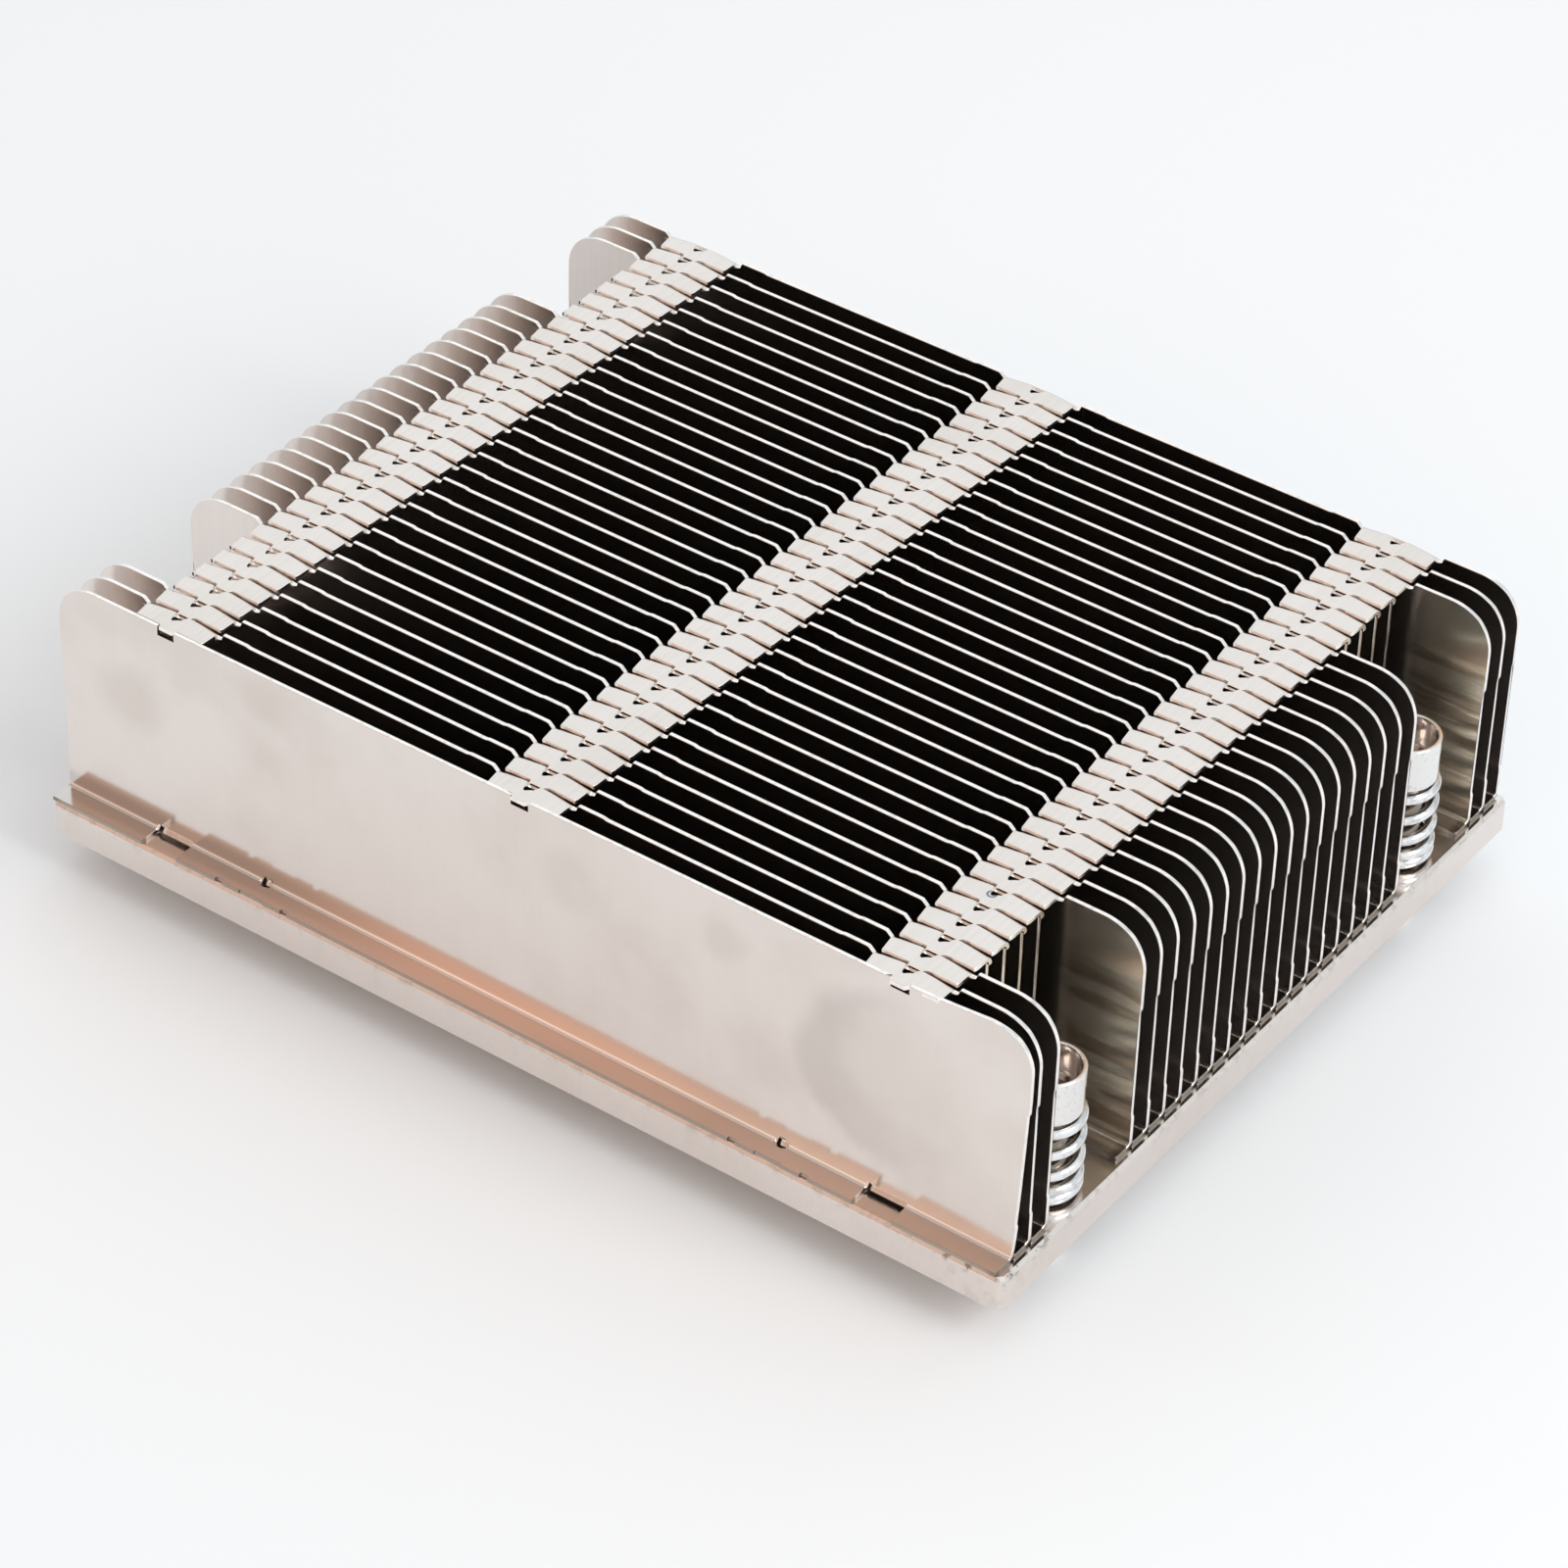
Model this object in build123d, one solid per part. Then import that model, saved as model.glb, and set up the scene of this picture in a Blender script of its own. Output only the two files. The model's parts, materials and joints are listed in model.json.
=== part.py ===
from build123d import *
import math
import os

# Passive server heatsink: folded zipper fins on a plated base plate, with four captive spring screws.
# Millimetres, +Z up, X along the fins, Y across them, origin at the centre of the plate's underside.

# Screw pattern of the socket, and its shift from the centre of the plate
SCREW_SPACING_X = 94.0
SCREW_SPACING_Y = 56.0
SCREW_SHIFT_X = 0.4
SCREW_SHIFT_Y = -0.6

# Base plate, which reaches past the ring pockets by a wall and past the screw axes to its long sides
BASE_SIDE_REACH = 12.5
BASE_THICKNESS = 3.4
BASE_CORNER_FLAT = 0.6
BASE_BEVEL = 0.3
POCKET_END_WALL = 0.5

# Captive screw: a round stud below the plate, and flat-sided above it to keep the faces few
SHANK_DIAMETER = 4.0
HOLE_CLEARANCE = 0.2
CUP_WALL = 0.34
CUP_HEIGHT = 4.4
CUP_FLOOR = 1.3
STUD_REACH = 4.0
TURNED_SIDES = 12

# Spring round the shank, drawn with straight steps
SPRING_WIRE = 1.0
SPRING_BORE_CLEARANCE = 0.4
SPRING_PAST_CUP = 0.2
SPRING_SPACE = 8.9
SPRING_OPEN_TURNS = 2.8
SPRING_CLOSED_TURNS = 0.75
SPRING_SEAT_CLEARANCE = 0.02
SPRING_STEPS_PER_TURN = 8
SPRING_WIRE_SIDES = 4

# Retaining ring in its groove, and the pocket that it stops in
GROOVE_DEPTH = 0.5
GROOVE_CLEARANCE = 0.05
RING_THICKNESS = 0.5
RING_BEARING = 0.9
RING_SNAP = 0.6
RING_SIDES = 8
RING_RECESS = 0.4
RING_POCKET_CLEARANCE = 0.5

# Fin stack
FIN_PITCH = 2.5
SHEET = 0.4
FIN_HEIGHT = 23.1
FIN_CORNER_RADIUS = 4.3
LEFT_MARGIN = 0.2
RIGHT_MARGIN = 0.8
FRONT_MARGIN = 0.4
BACK_MARGIN = 0.2
WELL_CLEARANCE = 0.45

# Flanges, which fold towards the front and reach the fin before
SEAM = 0.05
BAND_WIDTH = 7.7
SHORT_FIN_INSET = 0.3
FOOT_GAP_WIDTH = 4.0
FOOT_GAP_HEIGHT = 0.9

# Interlock in each top flange: a dovetail tongue in the slot of the fin before
TONGUE_ROOT_WIDTH = 1.3
TONGUE_FLARE = 0.15
TONGUE_PAST_WEB = 1.0
TONGUE_CLEARANCE = 0.12
FRONT_NOTCH_DEPTH = 1.2

# Screw, spring and ring sizes that follow
SHANK_RADIUS = SHANK_DIAMETER / 2
HOLE_RADIUS = SHANK_RADIUS + HOLE_CLEARANCE
COIL_RADIUS = SHANK_RADIUS + SPRING_BORE_CLEARANCE + SPRING_WIRE / 2
SPRING_RADIUS = COIL_RADIUS + SPRING_WIRE / 2
CUP_RADIUS = SPRING_RADIUS - SPRING_PAST_CUP
CUP_SEAT = BASE_THICKNESS + SPRING_SPACE
GROOVE_RADIUS = SHANK_RADIUS - GROOVE_DEPTH
RING_RADIUS = HOLE_RADIUS + RING_BEARING
RING_TOP = RING_THICKNESS + RING_RECESS
POCKET_RADIUS = RING_RADIUS + RING_POCKET_CLEARANCE
SCREW_CORNERS = {
    "front_left": (-1, -1),
    "front_right": (1, -1),
    "rear_left": (-1, 1),
    "rear_right": (1, 1),
}

# Plate and fin sizes that follow
BASE_LENGTH = SCREW_SPACING_X + 2 * (abs(SCREW_SHIFT_X) + POCKET_RADIUS + POCKET_END_WALL)
BASE_WIDTH = SCREW_SPACING_Y + 2 * BASE_SIDE_REACH
FIN_LENGTH = BASE_LENGTH - LEFT_MARGIN - RIGHT_MARGIN
STACK_SHIFT_X = (LEFT_MARGIN - RIGHT_MARGIN) / 2
FLANGE_REACH = FIN_PITCH - SHEET - SEAM
FIRST_FIN_Y = -BASE_WIDTH / 2 + FRONT_MARGIN + FLANGE_REACH
LAST_FIN_LIMIT = BASE_WIDTH / 2 - BACK_MARGIN - SHEET
FIN_COUNT = 1 + math.floor((LAST_FIN_LIMIT - FIRST_FIN_Y) / FIN_PITCH)
WELL_RADIUS = SPRING_RADIUS + WELL_CLEARANCE
BAND_END = SCREW_SPACING_X / 2 - WELL_RADIUS - abs(SCREW_SHIFT_X - STACK_SHIFT_X)
BAND_SPACING = BAND_END - BAND_WIDTH / 2
BAND_CENTRES = [-BAND_SPACING, 0.0, BAND_SPACING]
OUTER_BANDS = [-BAND_SPACING, BAND_SPACING]
SHORT_FIN_LENGTH = 2 * (BAND_END - SHORT_FIN_INSET)
TONGUE_TIP_WIDTH = TONGUE_ROOT_WIDTH + 2 * TONGUE_FLARE
TONGUE_LENGTH = SEAM + SHEET + TONGUE_PAST_WEB
SLOT_WIDTH = TONGUE_TIP_WIDTH + 2 * TONGUE_CLEARANCE
SLOT_LENGTH = SHEET + TONGUE_PAST_WEB + TONGUE_CLEARANCE


def web(length, corner_radius, slot_depth):
    """The upright sheet of a fin, near face at Y = 0, with its upper corners rounded and slots at the bands."""
    outline = Rectangle(length, FIN_HEIGHT, align=(Align.CENTER, Align.MIN))
    if corner_radius > 0:
        outline = fillet(outline.vertices().group_by(Axis.Y)[-1], corner_radius)
    slot = Rectangle(SLOT_WIDTH, slot_depth, align=(Align.CENTER, Align.MAX))
    outline -= [Pos(centre, FIN_HEIGHT) * slot for centre in BAND_CENTRES]
    return extrude(Plane.XZ * outline, amount=-SHEET)


def foot_flange(length):
    """The lower flange, folded towards the front, flat on the plate."""
    outline = Rectangle(length, FLANGE_REACH + SHEET, align=(Align.CENTER, Align.MAX))
    return Pos(0, SHEET, 0) * extrude(outline, amount=SHEET)


def foot_gap(centre):
    """A stretch where the sheet stops short of the plate and has no lower flange."""
    return Pos(centre, 0, 0) * Box(FOOT_GAP_WIDTH, 2 * FIN_PITCH, 2 * FOOT_GAP_HEIGHT)


def top_flange(centre):
    """One top flange: a dovetail tongue on its front edge, and at its fold the slot for the next fin's tongue."""
    tongue = Polyline(
        (-TONGUE_ROOT_WIDTH / 2, -FLANGE_REACH),
        (TONGUE_ROOT_WIDTH / 2, -FLANGE_REACH),
        (TONGUE_TIP_WIDTH / 2, -FLANGE_REACH - TONGUE_LENGTH),
        (-TONGUE_TIP_WIDTH / 2, -FLANGE_REACH - TONGUE_LENGTH),
        close=True,
    )
    plate = Pos(0, SHEET) * Rectangle(BAND_WIDTH, FLANGE_REACH + SHEET, align=(Align.CENTER, Align.MAX))
    slot = Pos(0, SHEET) * Rectangle(SLOT_WIDTH, SLOT_LENGTH, align=(Align.CENTER, Align.MAX))
    outline = plate + make_face(tongue) - slot
    return Pos(centre, 0, FIN_HEIGHT) * extrude(outline, amount=-SHEET)


def flanged_fin(length, corner_radius):
    """One folded sheet: web, lower flange and the three top flanges."""
    sheet = web(length, corner_radius, SHEET) + foot_flange(length)
    return sheet + [top_flange(centre) for centre in BAND_CENTRES]


def front_fin():
    """The foremost fin: notches in place of its top flanges, and a gap in its foot under each outer band."""
    sheet = web(FIN_LENGTH, FIN_CORNER_RADIUS, FRONT_NOTCH_DEPTH) + foot_flange(FIN_LENGTH)
    return sheet - [foot_gap(centre) for centre in OUTER_BANDS]


def beside_screw(fin_y):
    """True where a fin, from the edge of its flange to its far face, reaches into a screw's well."""
    fin_middle = fin_y + (SHEET - FLANGE_REACH) / 2
    gap_before_screw = abs(fin_middle - SCREW_SHIFT_Y) - SCREW_SPACING_Y / 2
    return abs(gap_before_screw) < WELL_RADIUS + (SHEET + FLANGE_REACH) / 2


def fin_stack():
    """All fins in order from the front, by name. Those beside a screw are short."""
    front = front_fin()
    full = flanged_fin(FIN_LENGTH, FIN_CORNER_RADIUS)
    short = flanged_fin(SHORT_FIN_LENGTH, 0)
    stack = {}
    for index in range(FIN_COUNT):
        fin_y = FIRST_FIN_Y + index * FIN_PITCH
        shape = front if index == 0 else short if beside_screw(fin_y) else full
        stack[f"fin_{index + 1:02d}"] = Pos(STACK_SHIFT_X, fin_y, BASE_THICKNESS) * shape
    return stack


def screw_places():
    """The four screw axes on the plate, by corner."""
    middle = Pos(SCREW_SHIFT_X, SCREW_SHIFT_Y, 0)
    return {
        corner: middle * Pos(side_x * SCREW_SPACING_X / 2, side_y * SCREW_SPACING_Y / 2, 0)
        for corner, (side_x, side_y) in SCREW_CORNERS.items()
    }


def turned(radius, low, high):
    """A turned length, drawn flat-sided inside its radius, with a flat towards X."""
    outline = RegularPolygon(radius, TURNED_SIDES, rotation=180 / TURNED_SIDES)
    return Pos(0, 0, low) * extrude(outline, amount=high - low)


def base_plate():
    """The plate, its corners broken and its upper edge bevelled, with a hole and a ring pocket at each screw."""
    plate = extrude(Rectangle(BASE_LENGTH, BASE_WIDTH), amount=BASE_THICKNESS)
    plate = chamfer(plate.edges().filter_by(Axis.Z), BASE_CORNER_FLAT)
    plate = chamfer(plate.faces().sort_by(Axis.Z)[-1].edges(), BASE_BEVEL)
    hole = Cylinder(HOLE_RADIUS, 3 * BASE_THICKNESS)
    pocket = turned(POCKET_RADIUS, -RING_TOP, RING_TOP)
    for place in screw_places().values():
        plate -= [place * hole, place * pocket]
    return plate


def captive_screw():
    """A turned screw: open cup head, shank, groove for the ring and round stud."""
    groove_bottom = RING_RECESS - GROOVE_CLEARANCE
    groove_top = RING_TOP + GROOVE_CLEARANCE
    cup_top = CUP_SEAT + CUP_HEIGHT
    stud_length = groove_bottom + STUD_REACH
    stud = Cylinder(SHANK_RADIUS, stud_length, align=(Align.CENTER, Align.CENTER, Align.MAX))
    screw = Pos(0, 0, groove_bottom) * stud
    screw += turned(GROOVE_RADIUS, groove_bottom, groove_top)
    screw += turned(SHANK_RADIUS, groove_top, CUP_SEAT)
    screw += turned(CUP_RADIUS, CUP_SEAT, cup_top)
    return screw - turned(CUP_RADIUS - CUP_WALL, CUP_SEAT + CUP_FLOOR, cup_top)


def retaining_ring():
    """A flat open ring that snaps into the groove of the screw from one side."""
    blank = RegularPolygon(RING_RADIUS, RING_SIDES)
    blank -= RegularPolygon(GROOVE_RADIUS + GROOVE_CLEARANCE, RING_SIDES, major_radius=False)
    blank -= Rectangle(2 * RING_RADIUS, 2 * GROOVE_RADIUS - RING_SNAP, align=(Align.MIN, Align.CENTER))
    return Pos(0, 0, RING_RECESS) * extrude(blank, amount=RING_THICKNESS)


def spring_line():
    """Points along the wire: closed turns at both ends and open turns between."""
    low = BASE_THICKNESS + SPRING_SEAT_CLEARANCE + SPRING_WIRE / 2
    high = CUP_SEAT - SPRING_SEAT_CLEARANCE - SPRING_WIRE / 2
    open_rise = high - low - 2 * SPRING_CLOSED_TURNS * SPRING_WIRE
    turns = 2 * SPRING_CLOSED_TURNS + SPRING_OPEN_TURNS
    steps = round(turns * SPRING_STEPS_PER_TURN)
    points = []
    for step in range(steps + 1):
        turn = turns * step / steps
        open_turn = min(max(turn - SPRING_CLOSED_TURNS, 0), SPRING_OPEN_TURNS)
        height = low + (turn - open_turn) * SPRING_WIRE + open_turn / SPRING_OPEN_TURNS * open_rise
        angle = 2 * math.pi * turn
        points.append((COIL_RADIUS * math.cos(angle), COIL_RADIUS * math.sin(angle), height))
    return points


def spring():
    """A compression spring, its wire swept along the coil."""
    path = Polyline(*spring_line())
    start = Plane(path @ 0, x_dir=(1, 0, 0), z_dir=path % 0)
    section = start * RegularPolygon(SPRING_WIRE / 2, SPRING_WIRE_SIDES)
    return sweep(section, path=path, transition=Transition.RIGHT)


def main():
    nodes = {"base_plate": base_plate()}
    nodes.update(fin_stack())
    screw, ring, coil = captive_screw(), retaining_ring(), spring()
    for corner, place in screw_places().items():
        nodes[f"screw_{corner}"] = place * screw
        nodes[f"retaining_ring_{corner}"] = place * ring
        nodes[f"spring_{corner}"] = place * coil
    os.makedirs("parts", exist_ok=True)
    for name, shape in nodes.items():
        export_step(shape, f"parts/{name}.step")


if __name__ == "__main__":
    main()
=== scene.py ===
"""Looks of a passive server heatsink: folded zipper fins on a plated plate, held by four spring screws.

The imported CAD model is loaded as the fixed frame. Lengths in the shapes and materials are millimetres in that
frame: X runs along the fins, Y from the front fin to the back, Z up from the underside of the plate.
"""

import json
import math

import bpy
import numpy as np
from mathutils import Matrix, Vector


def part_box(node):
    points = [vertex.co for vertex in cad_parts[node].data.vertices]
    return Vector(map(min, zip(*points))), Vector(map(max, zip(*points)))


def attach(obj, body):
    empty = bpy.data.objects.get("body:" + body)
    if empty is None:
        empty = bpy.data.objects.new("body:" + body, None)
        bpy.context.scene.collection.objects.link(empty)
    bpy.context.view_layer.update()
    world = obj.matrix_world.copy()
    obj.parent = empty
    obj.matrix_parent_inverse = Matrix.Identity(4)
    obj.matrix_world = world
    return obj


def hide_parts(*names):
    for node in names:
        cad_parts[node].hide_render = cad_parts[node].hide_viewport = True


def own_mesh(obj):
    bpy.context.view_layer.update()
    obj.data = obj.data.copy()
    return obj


bl_info = {
    "name": "Zipper Fin Heatsink",
    "version": (1, 0, 0),
    "blender": (4, 5, 0),
    "location": "View3D > Sidebar > Heatsink",
    "description": "Builds the folded fins, spring screws and finishes of a passive server heatsink",
    "category": "Object",
}

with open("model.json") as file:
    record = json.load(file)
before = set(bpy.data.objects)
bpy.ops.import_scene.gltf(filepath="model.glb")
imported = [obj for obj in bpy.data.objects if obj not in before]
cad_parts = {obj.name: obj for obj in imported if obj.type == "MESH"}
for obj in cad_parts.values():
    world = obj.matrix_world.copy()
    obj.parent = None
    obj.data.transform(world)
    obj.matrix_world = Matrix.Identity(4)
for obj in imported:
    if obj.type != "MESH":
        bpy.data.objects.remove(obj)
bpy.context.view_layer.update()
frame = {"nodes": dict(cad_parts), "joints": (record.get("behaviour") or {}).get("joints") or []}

MM = 1000.0
CORNERS = ("front_left", "front_right", "rear_left", "rear_right")
FIN_NAMES = sorted(name for name in frame["nodes"] if name.startswith("fin_"))
FRONT_FIN = FIN_NAMES[0]


def node_box(name):
    """Lowest and highest corner of a CAD node, in millimetres."""
    low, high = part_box(name)
    return np.array(low) * MM, np.array(high) * MM


PLATE_HIGH = node_box("base_plate")[1]
FRONT_LOW, FRONT_HIGH = node_box(FRONT_FIN)
STACK_MIDDLE = (FRONT_LOW[0] + FRONT_HIGH[0]) / 2
FLOOR_HEIGHT = min(node_box(f"screw_{corner}")[0][2] for corner in CORNERS)

# The three flanged bands across the fins: their spacing and half their width
BAND_SPACING, BAND_HALF = 38.6, 3.85
BANDS = STACK_MIDDLE + BAND_SPACING * np.array([-1.0, 0.0, 1.0])

# Least reach of a full fin past its last flange, and past the end of a short fin
WELL_MARGIN = 2.0
# Side inset of a short fin's web below the strip along its top
SHORT_INSET = 0.3
# Depth of that strip, and of the notches in the front fin's top
STRIP_DEPTH = 1.1
# Heights along the web between which the ends are trimmed, and the length of the jog there
TRIM_LOW, TRIM_HIGH, TRIM_JOG = 2.85, 14.0, 0.25
# Distance from a band at which the trim of the free top edge starts, and the length of its jog
TOP_TRIM, TOP_TRIM_JOG = 3.5, 0.3
# Width of a left relief slit against a right one, and how far the slits' outer walls slant
LEFT_SLIT_SHARE, LEFT_RAMP, RIGHT_RAMP = 0.4, -0.6, 0.25
# Slant of a flange's left side and cut of its right front corner
FLANGE_SLANT, FLANGE_CORNER = 0.28, 0.1
# Half lengths from a band's middle where its fold starts to widen and to droop
WIDEN_START, DROOP_START = 0.9, 1.3
# Length of web below a top fold over which its differences fade out
FOLD_LEAD = 2.0
# Length of the burrs at the ends of a foot flange
BURR_LENGTH = 0.32

# Middle and radius of a small ring mark on one flange of the right band, in metres
MARK, MARK_RADIUS = (0.0378, -0.0239, 0.0265), 0.00038

# Camera fitted to the photograph: metres, degrees, and millimetres for its lens
CAMERA_PLACE = (0.23008, -0.32789, 0.31739)
CAMERA_AZIMUTH, CAMERA_ELEVATION, CAMERA_ROLL = 35.06, 37.95, 1.80
CAMERA_FOCAL, CAMERA_SENSOR = 130.19, 36.0
# Place and size of the key lamp and half the table's width, in metres
KEY_PLACE, KEY_SIZE = (0.72, 0.02, 0.58), 0.5
TABLE_HALF, TABLE_STEPS = 2.5, 9


def length(label, text, millimetres):
    """A length property, given in millimetres and kept in metres."""
    return bpy.props.FloatProperty(
        name=label, description=text, default=millimetres / MM, min=0.0, precision=5, unit="LENGTH",
        subtype="DISTANCE",
    )


def colour(label, text, value):
    """A colour property in linear light."""
    return bpy.props.FloatVectorProperty(
        name=label, description=text, default=value, size=3, min=0.0, max=1.0, subtype="COLOR"
    )


def number(label, text, value, **settings):
    """A plain number property."""
    return bpy.props.FloatProperty(name=label, description=text, default=value, **settings)


class HeatsinkFinSizes(bpy.types.PropertyGroup):
    """Sizes of the folded sheets that the CAD model leaves plain."""

    sheet: length("Sheet", "Thickness of the fin sheet", 0.4)
    inner_bend: length("Inner bend radius", "Radius on the inside of a top fold, at its ends", 0.45)
    foot_bend: length("Foot bend radius", "Radius on the inside of each foot fold", 0.36)
    corner: length("Corner radius", "Radius of a full fin's upper corners", 4.3)
    slit_width: length("Relief slit width", "Width of the slit beside each top flange", 0.35)
    slit_depth: length("Relief slit depth", "Depth of that slit below the fin's top", 0.66)
    edge_break: length("Edge break", "Chamfer left along every cut edge", 0.035)
    recess: length("Edge recess", "Depth of the shallow trim along free edges", 0.12)
    tongue_width: length("Tongue width", "Width of the interlock tongue at its root", 1.8)
    tongue_length: length("Tongue length", "Reach of the tongue past its flange", 0.28)
    slot_length: length("Slot length", "Length of a flange's slot, from its fold to its shallow end", 0.4)
    tongue_dip: length("Tongue dip", "How far a tongue's tip is pressed down into its slot", 0.05)
    droop: length("Fold droop", "How much lower a top fold lies at its band's ends", 0.05)
    tight_fold: length("Tight fold", "How much smaller the top fold's radius is beside a tongue", 0.42)
    foot_burr: length("Foot burr", "Height of the burrs at the ends of a foot flange", 0.1)
    front_lean: length("Front fin lean", "How far the front fin's free end is bent in", 0.95)
    foot_bow: length("Front fin bow", "How far the front fin stands back above its foot's right half", 0.42)


class HeatsinkScrewSizes(bpy.types.PropertyGroup):
    """Sizes of the screws, springs and rings that the CAD model leaves plain."""

    rim_round: length("Rim rounding", "Rounding of the cup's rim", 0.16)
    thread_depth: length("Thread depth", "Depth of the thread on the stud", 0.28)
    thread_pitch: length("Thread pitch", "Pitch of the thread on the stud", 0.7)
    recess_depth: length("Drive recess depth", "Depth of the cross recess in the cup's floor", 0.8)
    wire: length("Spring wire", "Diameter of the spring wire", 1.0)
    bottom_turns: number("Closed turns, bottom", "Closed turns at the foot of a spring", 2.0, min=0.5)
    top_turns: number("Closed turns, top", "Closed turns under the cup", 0.5, min=0.5)
    open_turns: number("Open turns", "Open turns in the middle of a spring", 2.5, min=1.0)
    wire_end: number("Wire end", "Side on which a spring's wire ends, in degrees", 125.0)


class HeatsinkFinishes(bpy.types.PropertyGroup):
    """Colours of the metal finishes, and of the light and shade painted on them."""

    plating: colour("Plating", "Bright plating on the fins and the plate", (0.82, 0.755, 0.715))
    smudge: colour("Smudge", "Dull film on handled plating", (0.66, 0.585, 0.535))
    # Painted reflection on the front fin's foot: the flange and the warm front mirrored in the web, brown at
    # its left end.
    warm: colour("Warm tint", "Painted warm reflection along the front fin's foot", (0.875, 0.75, 0.685))
    film: colour("Foot reflection", "Painted brown reflection at the left of the front fin's foot", (0.65, 0.60, 0.57))
    stain: colour("Stain", "Grey film left by the large round stain", (0.58, 0.52, 0.49))
    # Painted light in the wells: a bright yellow highlight on the right end of a well fin, and bands of painted
    # shade across it lower down.
    bronze: colour("Bronze", "Painted highlight at the right ends of the well fins", (0.94, 0.86, 0.70))
    bronze_dark: colour("Dark bronze", "Bands of painted shade across that highlight", (0.56, 0.46, 0.34))
    mark: colour("Ring mark", "Small dark ring on one flange", (0.24, 0.26, 0.32))
    cut: colour("Cut edge", "Sheared edges of the fin sheet", (0.98, 0.94, 0.91))
    # Painted shade: darkens the ends of the fins' feet, the front edge of the front fin's foot and the screws'
    # shanks inside the springs.
    painted_shade: colour("Painted shade", "Painted shade on the fins' feet and the screws' shanks", (0.26, 0.215, 0.17))
    # Painted brown reflection and shade inside the screws' cups.
    cup_reflection_shade: colour("Cup floor", "Painted brown reflection and shade inside the screws' cups", (0.50, 0.42, 0.37))
    wear: colour("Wear", "Dark scuffs along the plate's edges", (0.30, 0.27, 0.25))
    screw: colour("Screw", "Bright zinc on the screws", (0.86, 0.85, 0.84))
    speck: colour("Speck", "Dark specks in that zinc", (0.34, 0.31, 0.29))
    spring: colour("Spring", "Polished spring wire", (0.86, 0.86, 0.87))
    ring: colour("Ring", "Dark spring steel of the rings", (0.22, 0.21, 0.20))


class HeatsinkStageSettings(bpy.types.PropertyGroup):
    """Floor, light and background."""

    floor: colour("Floor", "Matt white table", (0.90, 0.925, 0.955))
    sky: colour("Sky", "White tent overhead", (0.93, 0.98, 1.0))
    warm_side: colour("Warm side", "Warm light low in front", (1.0, 0.80, 0.67))
    brown_side: colour("Brown side", "Brown wall high in front on the left", (0.72, 0.535, 0.44))
    key_colour: colour("Key colour", "Colour of the lamp at the right", (1.0, 0.98, 0.95))
    sky_strength: number("Sky strength", "Brightness of the tent", 0.702, min=0.0)
    key_power: number("Key light", "Power of the lamp at the right", 2.9, min=0.0, unit="POWER")


def add_piece(name, points, faces, materials, body, node, smooth_angle=32.0, second=None):
    """Puts a finished shape into the scene: it stands for its CAD node and rides on its body.

    The faces marked in second have the second of its materials.
    """
    mesh = bpy.data.meshes.new(name)
    mesh.from_pydata((np.asarray(points) / MM).tolist(), [], faces)
    mesh.shade_smooth()
    mesh.set_sharp_from_angle(angle=math.radians(smooth_angle))
    if mesh.validate(verbose=False):
        raise RuntimeError(f"{name} has faces that the mesh can't hold")
    for material in materials:
        mesh.materials.append(material)
    if second is not None:
        mesh.polygons.foreach_set("material_index", second.astype(np.int32))
    piece = bpy.data.objects.new(name, mesh)
    bpy.context.scene.collection.objects.link(piece)
    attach(piece, body)
    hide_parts(node)
    return piece


def grid_faces(rows, columns, wrap):
    """Quads of a rows by columns grid, closed round the second direction where wrap is true."""
    index = np.arange(rows * columns).reshape(rows, columns)
    if wrap:
        index = np.hstack([index, index[:, :1]])
    quads = np.stack([index[:-1, :-1], index[:-1, 1:], index[1:, 1:], index[1:, :-1]], axis=-1)
    return quads.reshape(-1, 4)


class Blank:
    """The flat outline of one fin before it is folded: stations along x and s, and which cells hold metal.

    s is measured along the sheet from the top of the foot fold: below zero is the foot, above it the web,
    then the top fold and the flange.
    """

    def __init__(self, stations_x, stations_s):
        self.x = np.unique(np.round(np.concatenate(stations_x), 4))
        self.s = np.unique(np.round(np.concatenate(stations_s), 4))
        self.middle_x = ((self.x[:-1] + self.x[1:]) / 2)[:, None]
        self.middle_s = ((self.s[:-1] + self.s[1:]) / 2)[None, :]
        self.keep = np.zeros((len(self.x) - 1, len(self.s) - 1), bool)
        self.at_x, self.at_s = np.meshgrid(self.x, self.s, indexing="ij")
        self.shift_x = np.zeros_like(self.at_x)
        self.shift_s = np.zeros_like(self.at_s)

    def block(self, x0, x1, s0, s1):
        """The cells between two x stations and two s stations."""
        inside_x = (self.middle_x > x0) & (self.middle_x < x1)
        return inside_x & (self.middle_s > s0) & (self.middle_s < s1)

    def add(self, x0, x1, s0, s1):
        self.keep |= self.block(x0, x1, s0, s1)

    def cut(self, x0, x1, s0, s1):
        self.keep &= ~self.block(x0, x1, s0, s1)

    def near(self, x0, x1, s0, s1, slack=1e-3):
        """The stations between two x values and two s values, ends included."""
        inside_x = (self.at_x > x0 - slack) & (self.at_x < x1 + slack)
        return inside_x & (self.at_s > s0 - slack) & (self.at_s < s1 + slack)

    def trim_ends(self, left, right, recess):
        """Sets both ends of the web back by the recess."""
        for end_x, inward in ((left, 1), (right, -1)):
            self.shift_x[self.near(end_x, end_x, TRIM_LOW, TRIM_HIGH)] += inward * recess

    def outward(self):
        """At each station 1, 0 or -1 in x and in s, pointing from the metal to the open side."""
        cells = np.pad(self.keep.astype(int), 1)
        low_left, low_right = cells[:-1, :-1], cells[1:, :-1]
        high_left, high_right = cells[:-1, 1:], cells[1:, 1:]
        out_x = np.sign(low_left - low_right + high_left - high_right)
        out_s = np.sign(low_left - high_left + low_right - high_right)
        total = low_left + low_right + high_left + high_right
        return out_x, out_s, total


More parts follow.
